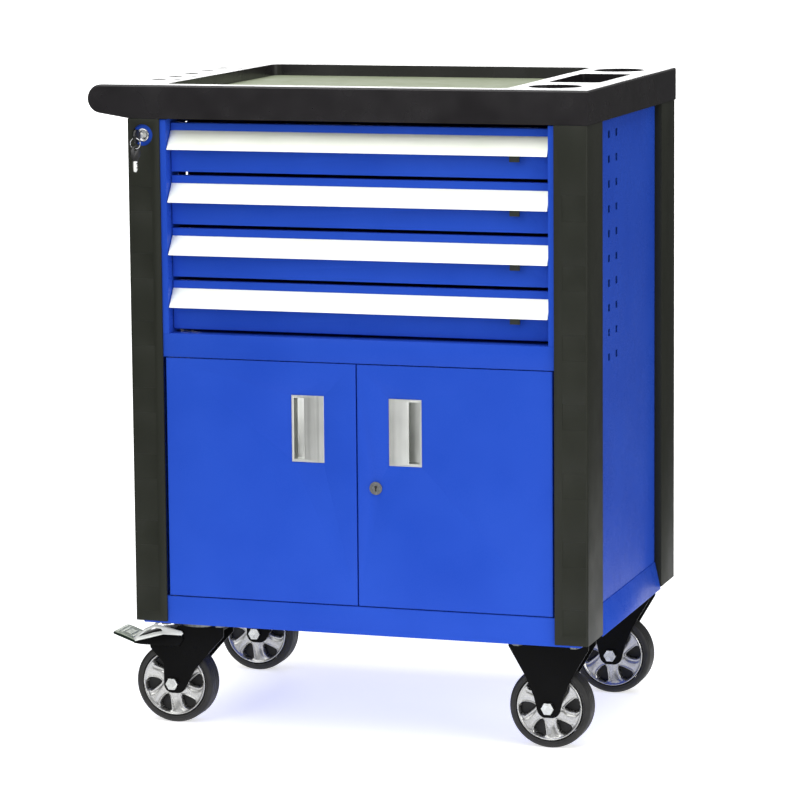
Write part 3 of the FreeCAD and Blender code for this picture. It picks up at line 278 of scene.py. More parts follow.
HANDLE_LOOK = ("satin_anodised_aluminium", "#F8FCF0", "#FDFFF6", 0.55, 2 * MM, "x", 0.008 * MM)
PULL_LOOK = ("satin_nickel_plate", "#D4D6D2", "#E4E6E2", 0.42, 1.5 * MM, "z", 0.008 * MM)
keep("satin_aluminium", brushed_metal(*HANDLE_LOOK))
keep("pull_steel", brushed_metal(*PULL_LOOK))

# %% [markdown]
# ## Zinc plate
#
# Slides, channels and bolts are zinc plated steel. The zinc grows in small crystals that
# each mirror a little differently, so a cell pattern sets both tint and roughness. The
# crystals are finer than a millimetre in life and are drawn at 5 mm.

# %% Zinc plate
def zinc_plate(name, dark, light, roughness):
    """Plated steel: small crystals that each mirror a little differently."""
    material, shader = new_material(name, {"Metallic": 1.0})
    place = add_node(material, "TexCoord")
    cells = {"Vector": place.outputs["Object"], "Scale": 1 / (5 * MM)}
    crystals = add_node(material, "TexVoronoi", cells)
    shade = add_node(material, "SeparateColor", {0: crystals.outputs["Color"]})
    span = {"To Min": roughness - 0.06, "To Max": roughness + 0.08}
    rough = add_node(material, "MapRange", {"Value": shade.outputs[1], **span})
    ripple = (drift(material, 2 * MM, 0, 1), 0.01 * MM)
    finish(material, shader, (dark, light), shade.outputs[0], rough.outputs[0], [ripple])
    return material


keep("zinc_steel", zinc_plate("dull_zinc_plate", "#6F716E", "#8B8D8A", 0.42))

# %% [markdown]
# ## Chrome
#
# The locks are plated with bright chrome. It is nearly a mirror, and what makes it look
# real is what fingers leave on it: smudges 6 to 8 mm wide, a touch darker and rougher.

# %% Chrome
def chrome(name, colour, smudge):
    """Bright plating with finger smudges."""
    material, shader = new_material(name, {"Metallic": 1.0})
    smudges = drift(material, 6 * MM, 0, 1)
    worn = drift(material, 8 * MM, 0.06, 0.16)
    ripple = (drift(material, 3 * MM, 0, 1), 0.004 * MM)
    finish(material, shader, (colour, smudge), smudges, worn, [ripple])
    return material


keep("lock_chrome", chrome("bright_chrome", "#D9DADB", "#BFC0C2"))

# %% [markdown]
# ## Tyre rubber
#
# The tyres are black rubber, moulded and cured: matt, a touch grey where they have
# rolled, with a pebbled skin that is drawn at 2 mm.

# %% Tyre rubber
def rubber(name, dark, light):
    """Matt rubber: scuffed patches over a pebbled skin."""
    material, shader = new_material(name, {"IOR": 1.52})
    scuffs = drift(material, 12 * MM, 0, 1, detail=4.0)
    worn = drift(material, 18 * MM, 0.5, 0.68)
    pebbles = (drift(material, 2 * MM, 0, 1, detail=4.0), 0.05 * MM)
    finish(material, shader, (dark, light), scuffs, worn, [pebbles])
    return material


keep("tyre_rubber", rubber("black_tyre_rubber", "#0F0F0E", "#1A1917"))

# %% [markdown]
# ## Foam mat
#
# The mat in the tray is pale grey-green foam with raised pips every 5 mm. A flat cell
# pattern without randomness is a square grid of points, and the distance to the nearest
# point, turned over, is a dome.

# %% Foam mat
def pipped_foam(name, dark, light):
    """Soft foam with rows of round pips."""
    material, shader = new_material(name, {"IOR": 1.45})
    place = add_node(material, "TexCoord")
    grid = {"Vector": place.outputs["Object"], "Scale": 1 / (5 * MM), "Randomness": 0.0}
    pips = add_node(material, "TexVoronoi", grid, voronoi_dimensions="2D")
    turned_over = {"From Max": 0.35, "To Min": 1.0, "To Max": 0.0}
    dome = add_node(material, "MapRange", {"Value": pips.outputs[0], **turned_over})
    cloud = drift(material, 50 * MM, 0, 1)
    worn = drift(material, 20 * MM, 0.6, 0.75)
    finish(material, shader, (dark, light), cloud, worn, [(dome.outputs[0], 0.4 * MM)])
    return material


keep("grey_mat", pipped_foam("grey_green_foam", "#8C9579", "#969E84"))

# %% [markdown]
# ## Flake paint
#
# The wheel covers and the foot plates are painted silver and grey-green, with metal
# flakes in the paint that make it sparkle softly. A flake is about 0.05 mm wide; the
# flakes are drawn at 1.5 mm, and kept shallow, or the cover looks like crumpled foil.

# %% Flake paint
def flake_paint(name, dark, light, metallic, roughness):
    """Metallic paint: flakes that tint and tilt together."""
    material, shader = new_material(name, {"Metallic": metallic, "IOR": 1.5})
    flakes = drift(material, 1.5 * MM, 0, 1)
    worn = drift(material, 15 * MM, roughness - 0.04, roughness + 0.06)
    finish(material, shader, (dark, light), flakes, worn, [(flakes, 0.004 * MM)])
    return material


keep("silver_hub", flake_paint("silver_painted_abs", "#A9A9A7", "#C6C6C3", 0.9, 0.3))
keep("brake_pad", flake_paint("grey_green_painted_steel", "#8B9484", "#A2AA9B", 0.3, 0.4))

# %% [markdown]
# ## Second finishes
#
# Some pieces carry a second finish: a near-black for the nylon core behind the wheel covers
# and the brake arms, painted darker than nylon as the shade in the wheel windows and used
# alone as the painted shade of the keyhole, the brighter zinc of the axles, the nickel of
# the key blades, and a dark green on the foot plates' edges that is painted shade.
# They are variants of the finishes above.

# %% Second finishes
# A near-black: real black nylon, painted darker as shade in the wheel windows, and painted shade
# alone on the keyhole.
BLACK_NYLON_AND_SHADE = moulded_plastic("black_nylon_and_painted_shade", "#070707", "#0C0C0B", 0.6, 3 * MM, 0.04 * MM)
BRIGHT_ZINC = zinc_plate("bright_zinc_plate", "#B4B6B3", "#D2D4D1", 0.3)
BLADE_LOOK = ("bright_nickel_blade", "#F4F4F0", "#FFFFFA", 0.6, 1 * MM, "z", 0.005 * MM)
BRIGHT_NICKEL = brushed_metal(*BLADE_LOOK)
# Painted shade: a dark green for the foot plates' skirts and undersides, below their lit tops.
PAINTED_SHADE_EDGE = powder_coat("dark_green_painted_shade", "#16211A", "#1E2C22", 0.4, 0.02 * MM)
print("finishes in all", len(bpy.data.materials))

# %% [markdown]
# ## Dressing the working pieces
#
# Each node of the imported model belongs to a material slot of the record, so one loop
# gives every piece its finish. The pieces made below replace some of them.

# %% Give every node its finish
for part in RECORD["subparts"]:
    mesh = frame["nodes"][part["node"]].data
    mesh.materials.clear()
    mesh.materials.append(MATERIALS[part["material_slot"]])
for node in ("swivel_axle_front", "swivel_axle_rear", "fixed_caster_axles"):
    frame["nodes"][node].data.materials[0] = BRIGHT_ZINC
print("dressed", len(RECORD["subparts"]), "nodes")

# %% [markdown]
# ## Making a piece
#
# Every piece made here is a list of points and a list of faces. Points that meet are
# merged and faces are turned outwards, and then the piece takes a body of the working
# model to move with, a finish, and, where it does so, the nodes that it takes over from.

# %% Piece maker
def make_piece(name, points, faces, material, node, replaced=()):
    """An object of these faces that moves with a node's body and takes a slot's finish."""
    mesh = bpy.data.meshes.new(name)
    mesh.from_pydata(points, [], faces)
    mesh.materials.append(material)
    builder = bmesh.new()
    builder.from_mesh(mesh)
    bmesh.ops.remove_doubles(builder, verts=builder.verts, dist=0.001 * MM)
    bmesh.ops.recalc_face_normals(builder, faces=builder.faces)
    builder.to_mesh(mesh)
    builder.free()
    piece = bpy.data.objects.new(name, mesh)
    bpy.context.scene.collection.objects.link(piece)
    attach(piece, BODY_OF[node])
    if replaced:
        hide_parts(*replaced)
    return piece


def smooth_by_angle(piece, degrees=35):
    """Shade as one skin where faces meet gently, and crisp where they meet sharply."""
    for face in piece.data.polygons:
        face.use_smooth = True
    piece.data.set_sharp_from_angle(angle=math.radians(degrees))


BODY_OF = {node: body for body, nodes in RECORD["behaviour"]["bodies"].items() for node in nodes}
print("bodies to ride on", len(set(BODY_OF.values())))

# %% [markdown]
# ## Turned pieces
#
# A lathe, a tyre mould and a coiled spring all make round things. One function does the
# same: it spins a profile of radii and offsets round an axle that runs from front to
# back.

# %% Turning
def spun(profile, middle, steps):
    """Points and faces of a (radius, offset) profile spun round an axle along Y."""
    points = []
    faces = []
    for step in range(steps):
        turn = 2 * math.pi * step / steps
        for radius, offset in profile:
            arm = Vector((radius * math.cos(turn), offset, radius * math.sin(turn)))
            points.append(middle + arm)
    size = len(profile)
    for step in range(steps):
        near = step * size
        far = (step + 1) % steps * size
        for i in range(size - 1):
            faces.append((near + i, near + i + 1, far + i + 1, far + i))
    return points, faces


print("a square bar has", len(spun([(1, 0), (1, 1)], Vector(), 4)[1]), "spun faces")

# %% [markdown]
# ## Pieces cut from plate
#
# A press cuts an outline out of plate, and a tumbler rounds its edges. Blender's flat
# curve does both: it fills an outline with its holes, gives it a thickness, and bevels
# the edge. Its offset is set inwards by the same amount, so that the plate keeps its
# size. The curve is then turned into a mesh and stood up where the piece belongs.

# %% Plate
def plate(name, outlines, place, low, high, material, node, round_off=0.5 * MM):
    """A plate with holes: outlines lie in a plane, and place(u, v, w) stands them up."""
    curve = bpy.data.curves.new(name, "CURVE")
    curve.dimensions = "2D"
    curve.fill_mode = "BOTH"
    curve.extrude = (high - low) / 2 - round_off
    curve.bevel_depth = round_off
    curve.bevel_resolution = 2
    curve.offset = -round_off
    for outline in outlines:
        spline = curve.splines.new("POLY")
        spline.points.add(len(outline) - 1)
        spline.use_cyclic_u = True
        for point, (u, v) in zip(spline.points, outline):
            point.co = (u, v, 0, 1)
    shape = bpy.data.objects.new(name, curve)
    mesh = bpy.data.meshes.new_from_object(shape)
    bpy.data.objects.remove(shape)
    middle = (low + high) / 2
    points = [place(v.co.x, v.co.y, v.co.z + middle) for v in mesh.vertices]
    faces = [tuple(face.vertices) for face in mesh.polygons]
    piece = make_piece(name, points, faces, material, node)
    smooth_by_angle(piece)
    return piece


def in_mm(outline):
    """The same outline, given in millimetres."""
    return [(u * MM, v * MM) for u, v in outline]


def arc(u, v, radius, turns):
    """Points round a middle at these turns, in radians."""
    return [(u + radius * math.cos(turn), v + radius * math.sin(turn)) for turn in turns]


JOINTS = {joint["name"]: joint for joint in RECORD["behaviour"]["joints"]}
CASE_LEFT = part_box("post_front_left")[0].x
CASE_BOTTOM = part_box("base_pan")[0].z
print("joints with a place", sum("pos_m" in joint for joint in JOINTS.values()))

# %% [markdown]
# ## Tyres
#
# A trolley tyre is moulded rubber pressed on the hub: a tread with three fine grooves,
# shoulders with a generous radius, and a sidewall with one raised bead. It is turned
# from one profile, so that its highlights run right round as they do on rubber.

# %% Tyres
TYRE_RADIUS = 54 * MM
TYRE_HALF = 16 * MM
BEAD_RADIUS = 44.6 * MM
BEAD = ((0, 0.80), (0.5, 0.98), (1.2, 1.0), (2.2, 1.0), (2.7, 0.96))
SHOULDER = 5 * MM
SHOULDER_STEPS = 8
SHOULDER_INSET = 0.3 * MM
GROOVE_DEPTH = 0.9 * MM
GROOVE_HALF = 0.8 * MM
GROOVES = (7 * MM, 0)
GROOVE_SHAPE = ((1, 0), (0.5, 1), (-0.5, 1), (-1, 0))
TYRE_STEPS = 120


def tyre_profile():
    """From one bead over the tread to the other, as radius and offset."""
    outer = [(BEAD_RADIUS + rise * MM, part * TYRE_HALF) for rise, part in BEAD]
    for step in range(SHOULDER_STEPS + 1):
        turn = math.pi / 2 * step / SHOULDER_STEPS
        radius = TYRE_RADIUS - SHOULDER * (1 - math.sin(turn))
        outer.append((radius, TYRE_HALF - SHOULDER * (1 - math.cos(turn)) - SHOULDER_INSET))
    for middle in GROOVES:
        for shift, depth in GROOVE_SHAPE:
            offset = middle + shift * GROOVE_HALF
            if offset > 0:
                outer.append((TYRE_RADIUS - depth * GROOVE_DEPTH, offset))
    return outer + [(radius, -offset) for radius, offset in reversed(outer)]


WHEELS = [f"{end}_{side}" for end in ("front", "rear") for side in ("left", "right")]
for wheel in WHEELS:
    low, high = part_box(f"tyre_{wheel}")
    points, faces = spun(tyre_profile(), (low + high) / 2, TYRE_STEPS)
    tyre = make_piece(
        f"moulded_tyre_{wheel}", points, faces, MATERIALS["tyre_rubber"],
        f"tyre_{wheel}", [f"tyre_{wheel}"],
    )
    smooth_by_angle(tyre, 50)
print("tyres", len(WHEELS), "with", len(points), "points each")

# %% [markdown]
# ## The windows of a wheel cover
#
# Each wheel has a bright moulded cover on both faces, with six dark windows whose sides
# lean a little, like the blades of a fan. A window is narrow near the axle and widens
# towards a rounded outer end. One function says how far a point lies from the nearest
# window's edge, and everything else about the cover follows from that distance.

# %% Window shape
COVER_RADIUS = 44 * MM
WINDOWS = 6
WINDOW_INNER = 19 * MM
WINDOW_LENGTH = 21.8 * MM
WINDOW_HALF = 11 * MM
WINDOW_WIDENING = 0.62
WINDOW_END = 9
SWIRL = math.radians(9)


def window_distance(radius, turn):
    """How far a point lies outside the nearest window, less than zero inside it."""
    along = (radius - WINDOW_INNER) / WINDOW_LENGTH
    sector = 2 * math.pi / WINDOWS
    lean = SWIRL * along
    across = (turn - lean + sector / 2) % sector - sector / 2
    sideways = abs(radius * math.sin(across))
    inside = min(max(along, 0), 1)
    half = WINDOW_HALF * inside**WINDOW_WIDENING * (1 - inside**WINDOW_END) ** 0.5
    beyond = max(-along, along - 1, 0) * WINDOW_LENGTH
    if sideways > half or beyond > 0:
        return math.hypot(max(sideways - half, 0), beyond)
    return -min(half - sideways, inside * WINDOW_LENGTH, (1 - inside) * WINDOW_LENGTH)


print("window middle lies", round(window_distance(30 * MM, 0) / MM, 1), "mm inside its edge")

# %% [markdown]
# ## The height of a wheel cover
#
# Seen from its edge the cover is a shallow dish with a thin raised rim. Each window has
# a raised lip, the spokes between them swell a little, and behind the lip the sheet
# drops steeply to the black core.

# %% Cover height
COVER_LEVEL = 11.6 * MM
DISH = 2.2 * MM
RIM_RISE = 2.6 * MM
RIM_MIDDLE = 42.7 * MM
RIM_WIDTH = 1.1 * MM
LIP_RISE = 1.3 * MM
LIP_MIDDLE = 0.9 * MM
LIP_WIDTH = 0.8 * MM
SPOKE_RISE = 1.2 * MM
SPOKE_REACH = 6 * MM
DROP_START = 0.5 * MM
DROP_WIDTH = 1.6 * MM
WINDOW_DEPTH = 9 * MM


def bump(value, middle, width):
    """A soft hill of height one round a middle value."""
    return math.exp(-(((value - middle) / width) ** 2))


def cover_height(radius, turn):
    """How far the cover stands out from the wheel's middle."""
    away = window_distance(radius, turn)
    height = COVER_LEVEL + DISH * math.cos(math.pi * radius / COVER_RADIUS) ** 2
    height += RIM_RISE * bump(radius, RIM_MIDDLE, RIM_WIDTH)
    height += LIP_RISE * bump(away, LIP_MIDDLE, LIP_WIDTH)
    height += SPOKE_RISE * min(max(away, 0) / SPOKE_REACH, 1) ** 2
    drop = min(max((DROP_START - away) / DROP_WIDTH, 0), 1)
    return height - WINDOW_DEPTH * drop * drop * (3 - 2 * drop)


print("rim stands", round(cover_height(RIM_MIDDLE, 0) / MM, 1), "mm from the wheel's middle")

# %% [markdown]
# ## Wheel covers
#
# The cover is a sheet pressed over a form, so it is made as one: a fine round grid at the
# height just worked out, once for each face of the wheel, with a wall between the two
# faces at the rim and at the axle. Faces well inside a window take the black of the
# nylon core behind it, painted darker than nylon as the shade in the deep window.

# %% Wheel covers
COVER_HALF = 16.8 * MM
COVER_EDGE = 10 * MM
BORE_PART = 0.12
COVER_STEPS = 216
COVER_RINGS = 44
CORE_AND_SHADE_FROM = -0.4 * MM


def cover_points(middle):
    """The grid of both faces, ring by ring from the axle to the rim."""
    points = []
    for side in (1, -1):
        for ring in range(COVER_RINGS + 1):
            radius = COVER_RADIUS * (BORE_PART + (1 - BORE_PART) * ring / COVER_RINGS)
            for step in range(COVER_STEPS):
                turn = 2 * math.pi * step / COVER_STEPS
                height = min(cover_height(radius, turn), COVER_HALF)
                if ring == COVER_RINGS:
                    height = COVER_EDGE
                arm = Vector((radius * math.cos(turn), side * height, radius * math.sin(turn)))
                points.append(middle + arm)
    return points


def cover_faces():
    """Faces between the rings, and the two walls that join the faces of the wheel."""
    size = (COVER_RINGS + 1) * COVER_STEPS
    outer = COVER_RINGS * COVER_STEPS
    steps = [(step, (step + 1) % COVER_STEPS) for step in range(COVER_STEPS)]
    pairs = []
    for start in (0, size):
        for ring in range(COVER_RINGS):
            near = start + ring * COVER_STEPS
            pairs.append((near, near + COVER_STEPS))
    pairs += [(outer, size + outer), (0, size)]
    return [(a + step, a + after, b + after, b + step) for a, b in pairs for step, after in steps]


for wheel in WHEELS:
    low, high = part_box(f"hub_{wheel}")
    middle = (low + high) / 2
    cover = make_piece(
        f"wheel_cover_{wheel}", cover_points(middle), cover_faces(), MATERIALS["silver_hub"],
        f"hub_{wheel}", [f"hub_{wheel}"],
    )
    cover.data.materials.append(BLACK_NYLON_AND_SHADE)
    for face in cover.data.polygons:
        arm = face.center - middle
        radius = math.hypot(arm.x, arm.z)
        # Faces deep in a window take the near-black: the nylon core, with painted shade.
        if window_distance(radius, math.atan2(arm.z, arm.x)) < CORE_AND_SHADE_FROM:
            face.material_index = 1
        face.use_smooth = True
print("covers", len(WHEELS), "with", len(cover.data.polygons), "faces each")

# %% [markdown]
# ## The shape of a foot plate
#
# The toe presses a cast plate with two nested raised frames on it. Its top is slightly
# crowned, its corners are round and its edge falls away, and all of that can be told
# from how far a point lies from the edge.

# %% Foot plate height
FOOT_HALF = 23.5 * MM
FOOT_THICK = 5.5 * MM
FOOT_ROUND = 5 * MM
FOOT_FALL = 2.5 * MM
FOOT_CROWN = 0.8 * MM
FRAME_RISE = 0.7 * MM
FRAME_WIDTH = 0.9 * MM
FRAME_INSETS = (5.2 * MM, 10.5 * MM)


def foot_height(along, across, length):
    """Height of the foot plate's top over its flat underside."""
    half = length / 2
    away_long = half - abs(along - half)
    away_wide = FOOT_HALF - abs(across)
    edge = min(away_long, away_wide)
    if away_long < FOOT_ROUND and away_wide < FOOT_ROUND:
        edge = FOOT_ROUND - math.hypot(FOOT_ROUND - away_long, FOOT_ROUND - away_wide)
    rise = 1 - max(0, 1 - edge / FOOT_FALL) ** 3
    height = FOOT_THICK * (0.55 + 0.25 * max(min(rise, 1), 0))
    height += FOOT_CROWN * (1 - (along / half - 1) ** 2)
    for inset in FRAME_INSETS:
        height += FRAME_RISE * bump(edge, inset, FRAME_WIDTH)
    return height


print("middle of the foot plate", round(foot_height(15 * MM, 0, 30 * MM) / MM, 1), "mm thick")

# %% [markdown]
# ## Foot plates
#
# The plate slopes down towards the caster. It is a grid on top, the same grid flat
# underneath, and a skirt between them. The top takes the grey-green paint; the skirt and
# the underside take a dark green, painted shade below the lit top.

# %% Foot plates
FOOT_TIP = Vector((-52.3, -26.0))
FOOT_HEEL = Vector((-22.5, -36.5))
FOOT_SINK = 0.6
LONG_STEPS = 40
WIDE_STEPS = 60
SIDEWAYS = Vector((0, 1, 0))


def foot_faces():
    """Faces of the top and the underside, and of the skirt between them."""
    row = WIDE_STEPS + 1
    size = row * (LONG_STEPS + 1)
    faces = []
    for first in (0, size):
        for i in range(LONG_STEPS):
            for j in range(WIDE_STEPS):
                corner = first + i * row + j
                faces.append((corner, corner + 1, corner + row + 1, corner + row))
    skirt = [(i * row + j, row) for i in range(LONG_STEPS) for j in (0, WIDE_STEPS)]
    skirt += [(i * row + j, 1) for j in range(WIDE_STEPS) for i in (0, LONG_STEPS)]
    for corner, onward in skirt:
        faces.append((corner, corner + onward, corner + onward + size, corner + size))
    return faces


def foot_plate(name, axle, node):
    """The cast plate under the toe."""
    start = Vector((CASE_LEFT + FOOT_TIP.x * MM, axle, CASE_BOTTOM + FOOT_TIP.y * MM))
    end = Vector((CASE_LEFT + FOOT_HEEL.x * MM, axle, CASE_BOTTOM + FOOT_HEEL.y * MM))
    forward = (end - start).normalized()
    length = (end - start).length
    upward = forward.cross(SIDEWAYS)
    base = start - upward * (FOOT_THICK * FOOT_SINK)
    points = []
    for level in (1, 0):
        for i in range(LONG_STEPS + 1):
            for j in range(WIDE_STEPS + 1):
                along = length * i / LONG_STEPS
                across = FOOT_HALF * (2 * j / WIDE_STEPS - 1)
                height = foot_height(along, across, length) if level else 0
                points.append(base + forward * along + SIDEWAYS * across + upward * height)
    piece = make_piece(name, points, foot_faces(), MATERIALS["brake_pad"], node, [node])
    piece.data.materials.append(PAINTED_SHADE_EDGE)
    for face in piece.data.polygons:
        # Faces that don't face up take the dark green, painted shade; the lit top keeps the
        # grey-green.
        face.material_index = 0 if face.normal.dot(upward) > 0.5 else 1
        face.use_smooth = face.material_index == 0


AXLES = {}
for end in ("front", "rear"):
    low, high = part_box(f"brake_pedal_{end}")
    AXLES[end] = (low.y + high.y) / 2
    foot_plate(f"foot_plate_{end}", AXLES[end], f"brake_pedal_{end}")
print("foot plates at", {end: round(axle, 3) for end, axle in AXLES.items()})

# %% [markdown]
# ## Levers and shoe arms
#
# A plated lever with a long slot joins the foot plate to the pivot, with one cheek on
# each side of the fork and a black apron below it. A black arm between the cheeks
# carries the shoe. All of them are cut from plate, so their outlines are listed in
# millimetres from the case's left face and bottom.

# %% Levers and shoe arms
LEVER = [(-26, -38), (-24.5, -33), (-9, -20.5), (4.5, -13.6), (9, -13.4), (30, -17.5), (44.5, -20.5)]
LEVER += [(46.5, -23.5), (44.5, -26.5), (18, -26.5), (-18, -37), (-24, -40)]
LEVER_SLOT = [(-17.5, -31.5), (-6.5, -22.5), (5.5, -18.0), (15, -19.0), (17, -22), (4, -25)]
ARM = [(46, -20.5), (46.5, -27.5), (16, -28.5), (14.5, -36.5), (5, -37.5), (1, -34), (-20, -40.5)]
ARM += [(-23.5, -38), (-20, -32), (6, -22), (31, -18.5)]
CHEEK = [(-24, -37.8), (18, -27.2), (45, -27.2), (46.5, -31), (40, -41.6), (-14, -41.8), (-24, -40.6)]
CHEEK_NEAR = 20.7 * MM
CHEEK_FAR = 22.9 * MM
ARM_HALF = 13 * MM

for end, axle in AXLES.items():
    node = f"brake_pedal_{end}"

    def stand(u, v, w, axle=axle):
        return Vector((CASE_LEFT + u, axle + w, CASE_BOTTOM + v))

    for side, near, far in (("near", -CHEEK_FAR, -CHEEK_NEAR), ("far", CHEEK_NEAR, CHEEK_FAR)):
        plate(
            f"brake_lever_{end}_{side}", [in_mm(LEVER), in_mm(LEVER_SLOT)], stand, near, far,
            MATERIALS["pull_steel"], node,
        )
        plate(
            f"brake_cheek_{end}_{side}", [in_mm(CHEEK)], stand, near, far,
            MATERIALS["black_fork"], node,
        )
    plate(
        f"brake_arm_{end}", [in_mm(ARM)], stand, -ARM_HALF, ARM_HALF, BLACK_NYLON_AND_SHADE, node
    )
print("levers, cheeks and arms for", len(AXLES), "foot brakes")

# %% [markdown]
# ## The drawer lock's ring
#
# A cam lock shows a turned and polished ring with a rounded edge and a flat recess for
# the plug. It is turned from one profile: from its sleeve in the post, over the rounded
# edge, into the recess.

# %% Drawer lock ring
RING_PLAY = 0.05 * MM
SLEEVE_STEP = 1.2 * MM
FLANGE_THICK = 4.2 * MM
EDGE_RADIUS = 1.7 * MM
EDGE_STEPS = 12
RECESS_STEP = 3.4 * MM
RECESS = 1.0 * MM
PLUG_EDGE = 4.0 * MM
PLUG_STEP = 0.4 * MM

low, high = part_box("drawer_lock_barrel")
radius = (high.z - low.z) / 2
outer = radius - RING_PLAY
profile = [(outer - SLEEVE_STEP, high.y), (outer - SLEEVE_STEP, low.y + FLANGE_THICK)]
profile += [(outer, low.y + FLANGE_THICK)]
for step in range(EDGE_STEPS + 1):
    turn = math.pi * step / EDGE_STEPS
    across = outer - EDGE_RADIUS + EDGE_RADIUS * math.cos(turn)
    profile.append((across, low.y + EDGE_RADIUS + RING_PLAY - EDGE_RADIUS * math.sin(turn)))
profile += [(outer - RECESS_STEP, low.y + RECESS), (PLUG_EDGE, low.y + RECESS + PLUG_STEP)]
lock_middle = Vector((low.x + radius, 0, (low.z + high.z) / 2))
points, faces = spun(profile, lock_middle, 64)
lock_ring = make_piece(
    "drawer_lock_ring", points, faces, MATERIALS["lock_chrome"],
    "drawer_lock_barrel", ["drawer_lock_barrel"],
)
smooth_by_angle(lock_ring, 40)
print("lock ring at", [round(v, 3) for v in lock_middle])

# %% [markdown]
# ## The door lock's keyhole
#
# The keyhole is a slot under a round hole. On the working model the plug is whole, so
# the shade inside the keyhole is painted: a very thin black plate just in front of it.

# %% Keyhole
HOLE_HALF = 1.1 * MM
HOLE_REACH = 3.9 * MM
HOLE_RADIUS = 2.0 * MM
HOLE_RISE = 1.8 * MM
HOLE_TURNS = (-0.5, 0.3, 1.1, 2.0, 2.8, 3.6)
door_middle = Vector(JOINTS["door_lock_turn"]["pos_m"])
door_lock_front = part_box("door_lock_barrel")[0].y


def stand_door(u, v, w):
    """A plate on the door lock's front."""
    return Vector((door_middle.x + u, door_lock_front + w, door_middle.z + v))


keyhole = [(-HOLE_HALF, -HOLE_REACH), (HOLE_HALF, -HOLE_REACH), (HOLE_HALF, 0)]
keyhole += arc(0, HOLE_RISE, HOLE_RADIUS, HOLE_TURNS)
keyhole += [(-HOLE_HALF, 0)]
# The black plate is painted shade, standing for the depth of the keyhole.
plate(
    "door_keyhole_painted_shade", [keyhole], stand_door, 0.02 * MM, 0.3 * MM, BLACK_NYLON_AND_SHADE, "door_lock_cam",
    round_off=0.05 * MM,
)
print("keyhole", round((HOLE_REACH + HOLE_RISE + HOLE_RADIUS) / MM, 1), "mm high")

# %% [markdown]
# ## The outline of a key
#
# Both keys have the same outline: a round black head with shoulders towards the blade
# and a hole for the ring, and a flat blade with a row of cuts along one edge.

# %% Key outlines
KEY_HEAD = 9 * MM
KEY_HOLE = 2.6 * MM
HOLE_AT = -5 * MM
HEAD_START = math.radians(35)
HEAD_SWEEP = math.radians(290)
SHOULDER_AT = 11 * MM
SHOULDER_HALF = 4.6 * MM
BLADE_AT = 10 * MM
CUT_DEPTHS = (1.0, 2.0, 1.3, 2.2, 0.8)


def key_head():
    """A round head with shoulders towards the blade, and the hole for the ring."""
    outline = arc(0, 0, KEY_HEAD, [HEAD_START + HEAD_SWEEP * step / 32 for step in range(33)])
    outline += [(SHOULDER_AT, -SHOULDER_HALF), (SHOULDER_AT, SHOULDER_HALF)]
    return [outline, arc(HOLE_AT, 0, KEY_HOLE, [2 * math.pi * step / 20 for step in range(20)])]


def key_blade(length):
    """A flat blade with a pointed end and a row of cuts along one edge."""
    tip = BLADE_AT + length
    outline = [(BLADE_AT, -3.6 * MM), (tip, -3.6 * MM)]
    outline += [(tip + 1.6 * MM, -1.5 * MM), (tip + 1.6 * MM, 0.6 * MM)]
    pitch = length / len(CUT_DEPTHS)
    for cut, depth in enumerate(CUT_DEPTHS):
        at = tip - (cut + 0.2) * pitch
        floor = (3.4 - depth) * MM
        outline += [(at, floor), (at - 0.45 * pitch, floor), (at - 0.7 * pitch, 3.4 * MM)]
    return [outline + [(BLADE_AT, 3.6 * MM)]]


print("points round a blade", len(key_blade(11 * MM)[0]))

# %% [markdown]
# ## The key in the drawer lock
#
# The first key stands in the lock: its length runs to the back and its flat is upright.

# %% Key in the lock
HEAD_HALF = 1.45 * MM
BLADE_HALF = 0.95 * MM
LOCK_BLADE = 11 * MM
key_axis = Vector(JOINTS["drawer_lock_turn"]["pos_m"])
ring_axis = Vector(JOINTS["key_ring_swing"]["pos_m"])


def stand_key(u, v, w):
    """The hole of the head lies on the ring's axis, and the blade runs to the back."""
    return Vector((key_axis.x + w, ring_axis.y - HOLE_AT + u, key_axis.z + v))


plate(
    "key_head_in_lock", key_head(), stand_key, -HEAD_HALF, HEAD_HALF,
    MATERIALS["key_plastic"], "drawer_lock_key",
)
blade = plate(
    "key_blade_in_lock", key_blade(LOCK_BLADE), stand_key, -BLADE_HALF, BLADE_HALF,
    BRIGHT_NICKEL, "drawer_lock_key", round_off=0.2 * MM,
)
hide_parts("drawer_lock_key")
print("key head", round(2 * KEY_HEAD / MM), "mm across")

# %% [markdown]
# ## The ring and the spare key
#
# A ring of spring wire passes through both heads, and the spare key hangs from it. It
# has settled a little turned, so that its face catches the light from the right.

# %% Ring and spare key
RING_RADIUS = 6.9 * MM
WIRE = 0.74 * MM
KEY_TWIST = math.radians(36)
KEY_NARROW = 0.86
TIP_ROOM = 1.7 * MM
ring_low, ring_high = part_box("spare_key_on_ring")
ring_middle = Vector((ring_axis.x, ring_axis.y, ring_high.z - RING_RADIUS - WIRE))
wire = arc(RING_RADIUS, 0, WIRE, [2 * math.pi * step / 16 for step in range(17)])
points, faces = spun(wire, ring_middle, 64)
ring = make_piece(
    "key_ring", points, faces, MATERIALS["lock_chrome"], "spare_key_on_ring",
    ["spare_key_on_ring"],
)
smooth_by_angle(ring, 60)
head_height = ring_middle.z - RING_RADIUS + HOLE_AT


def stand_spare(u, v, w):
    """The spare key hangs from the ring, turned a little to the right."""
    across = Vector((math.sin(KEY_TWIST), math.cos(KEY_TWIST), 0))
    flat = Vector((math.cos(KEY_TWIST), -math.sin(KEY_TWIST), 0))
    return Vector((ring_axis.x, ring_axis.y, head_height - u)) + across * v * KEY_NARROW + flat * w


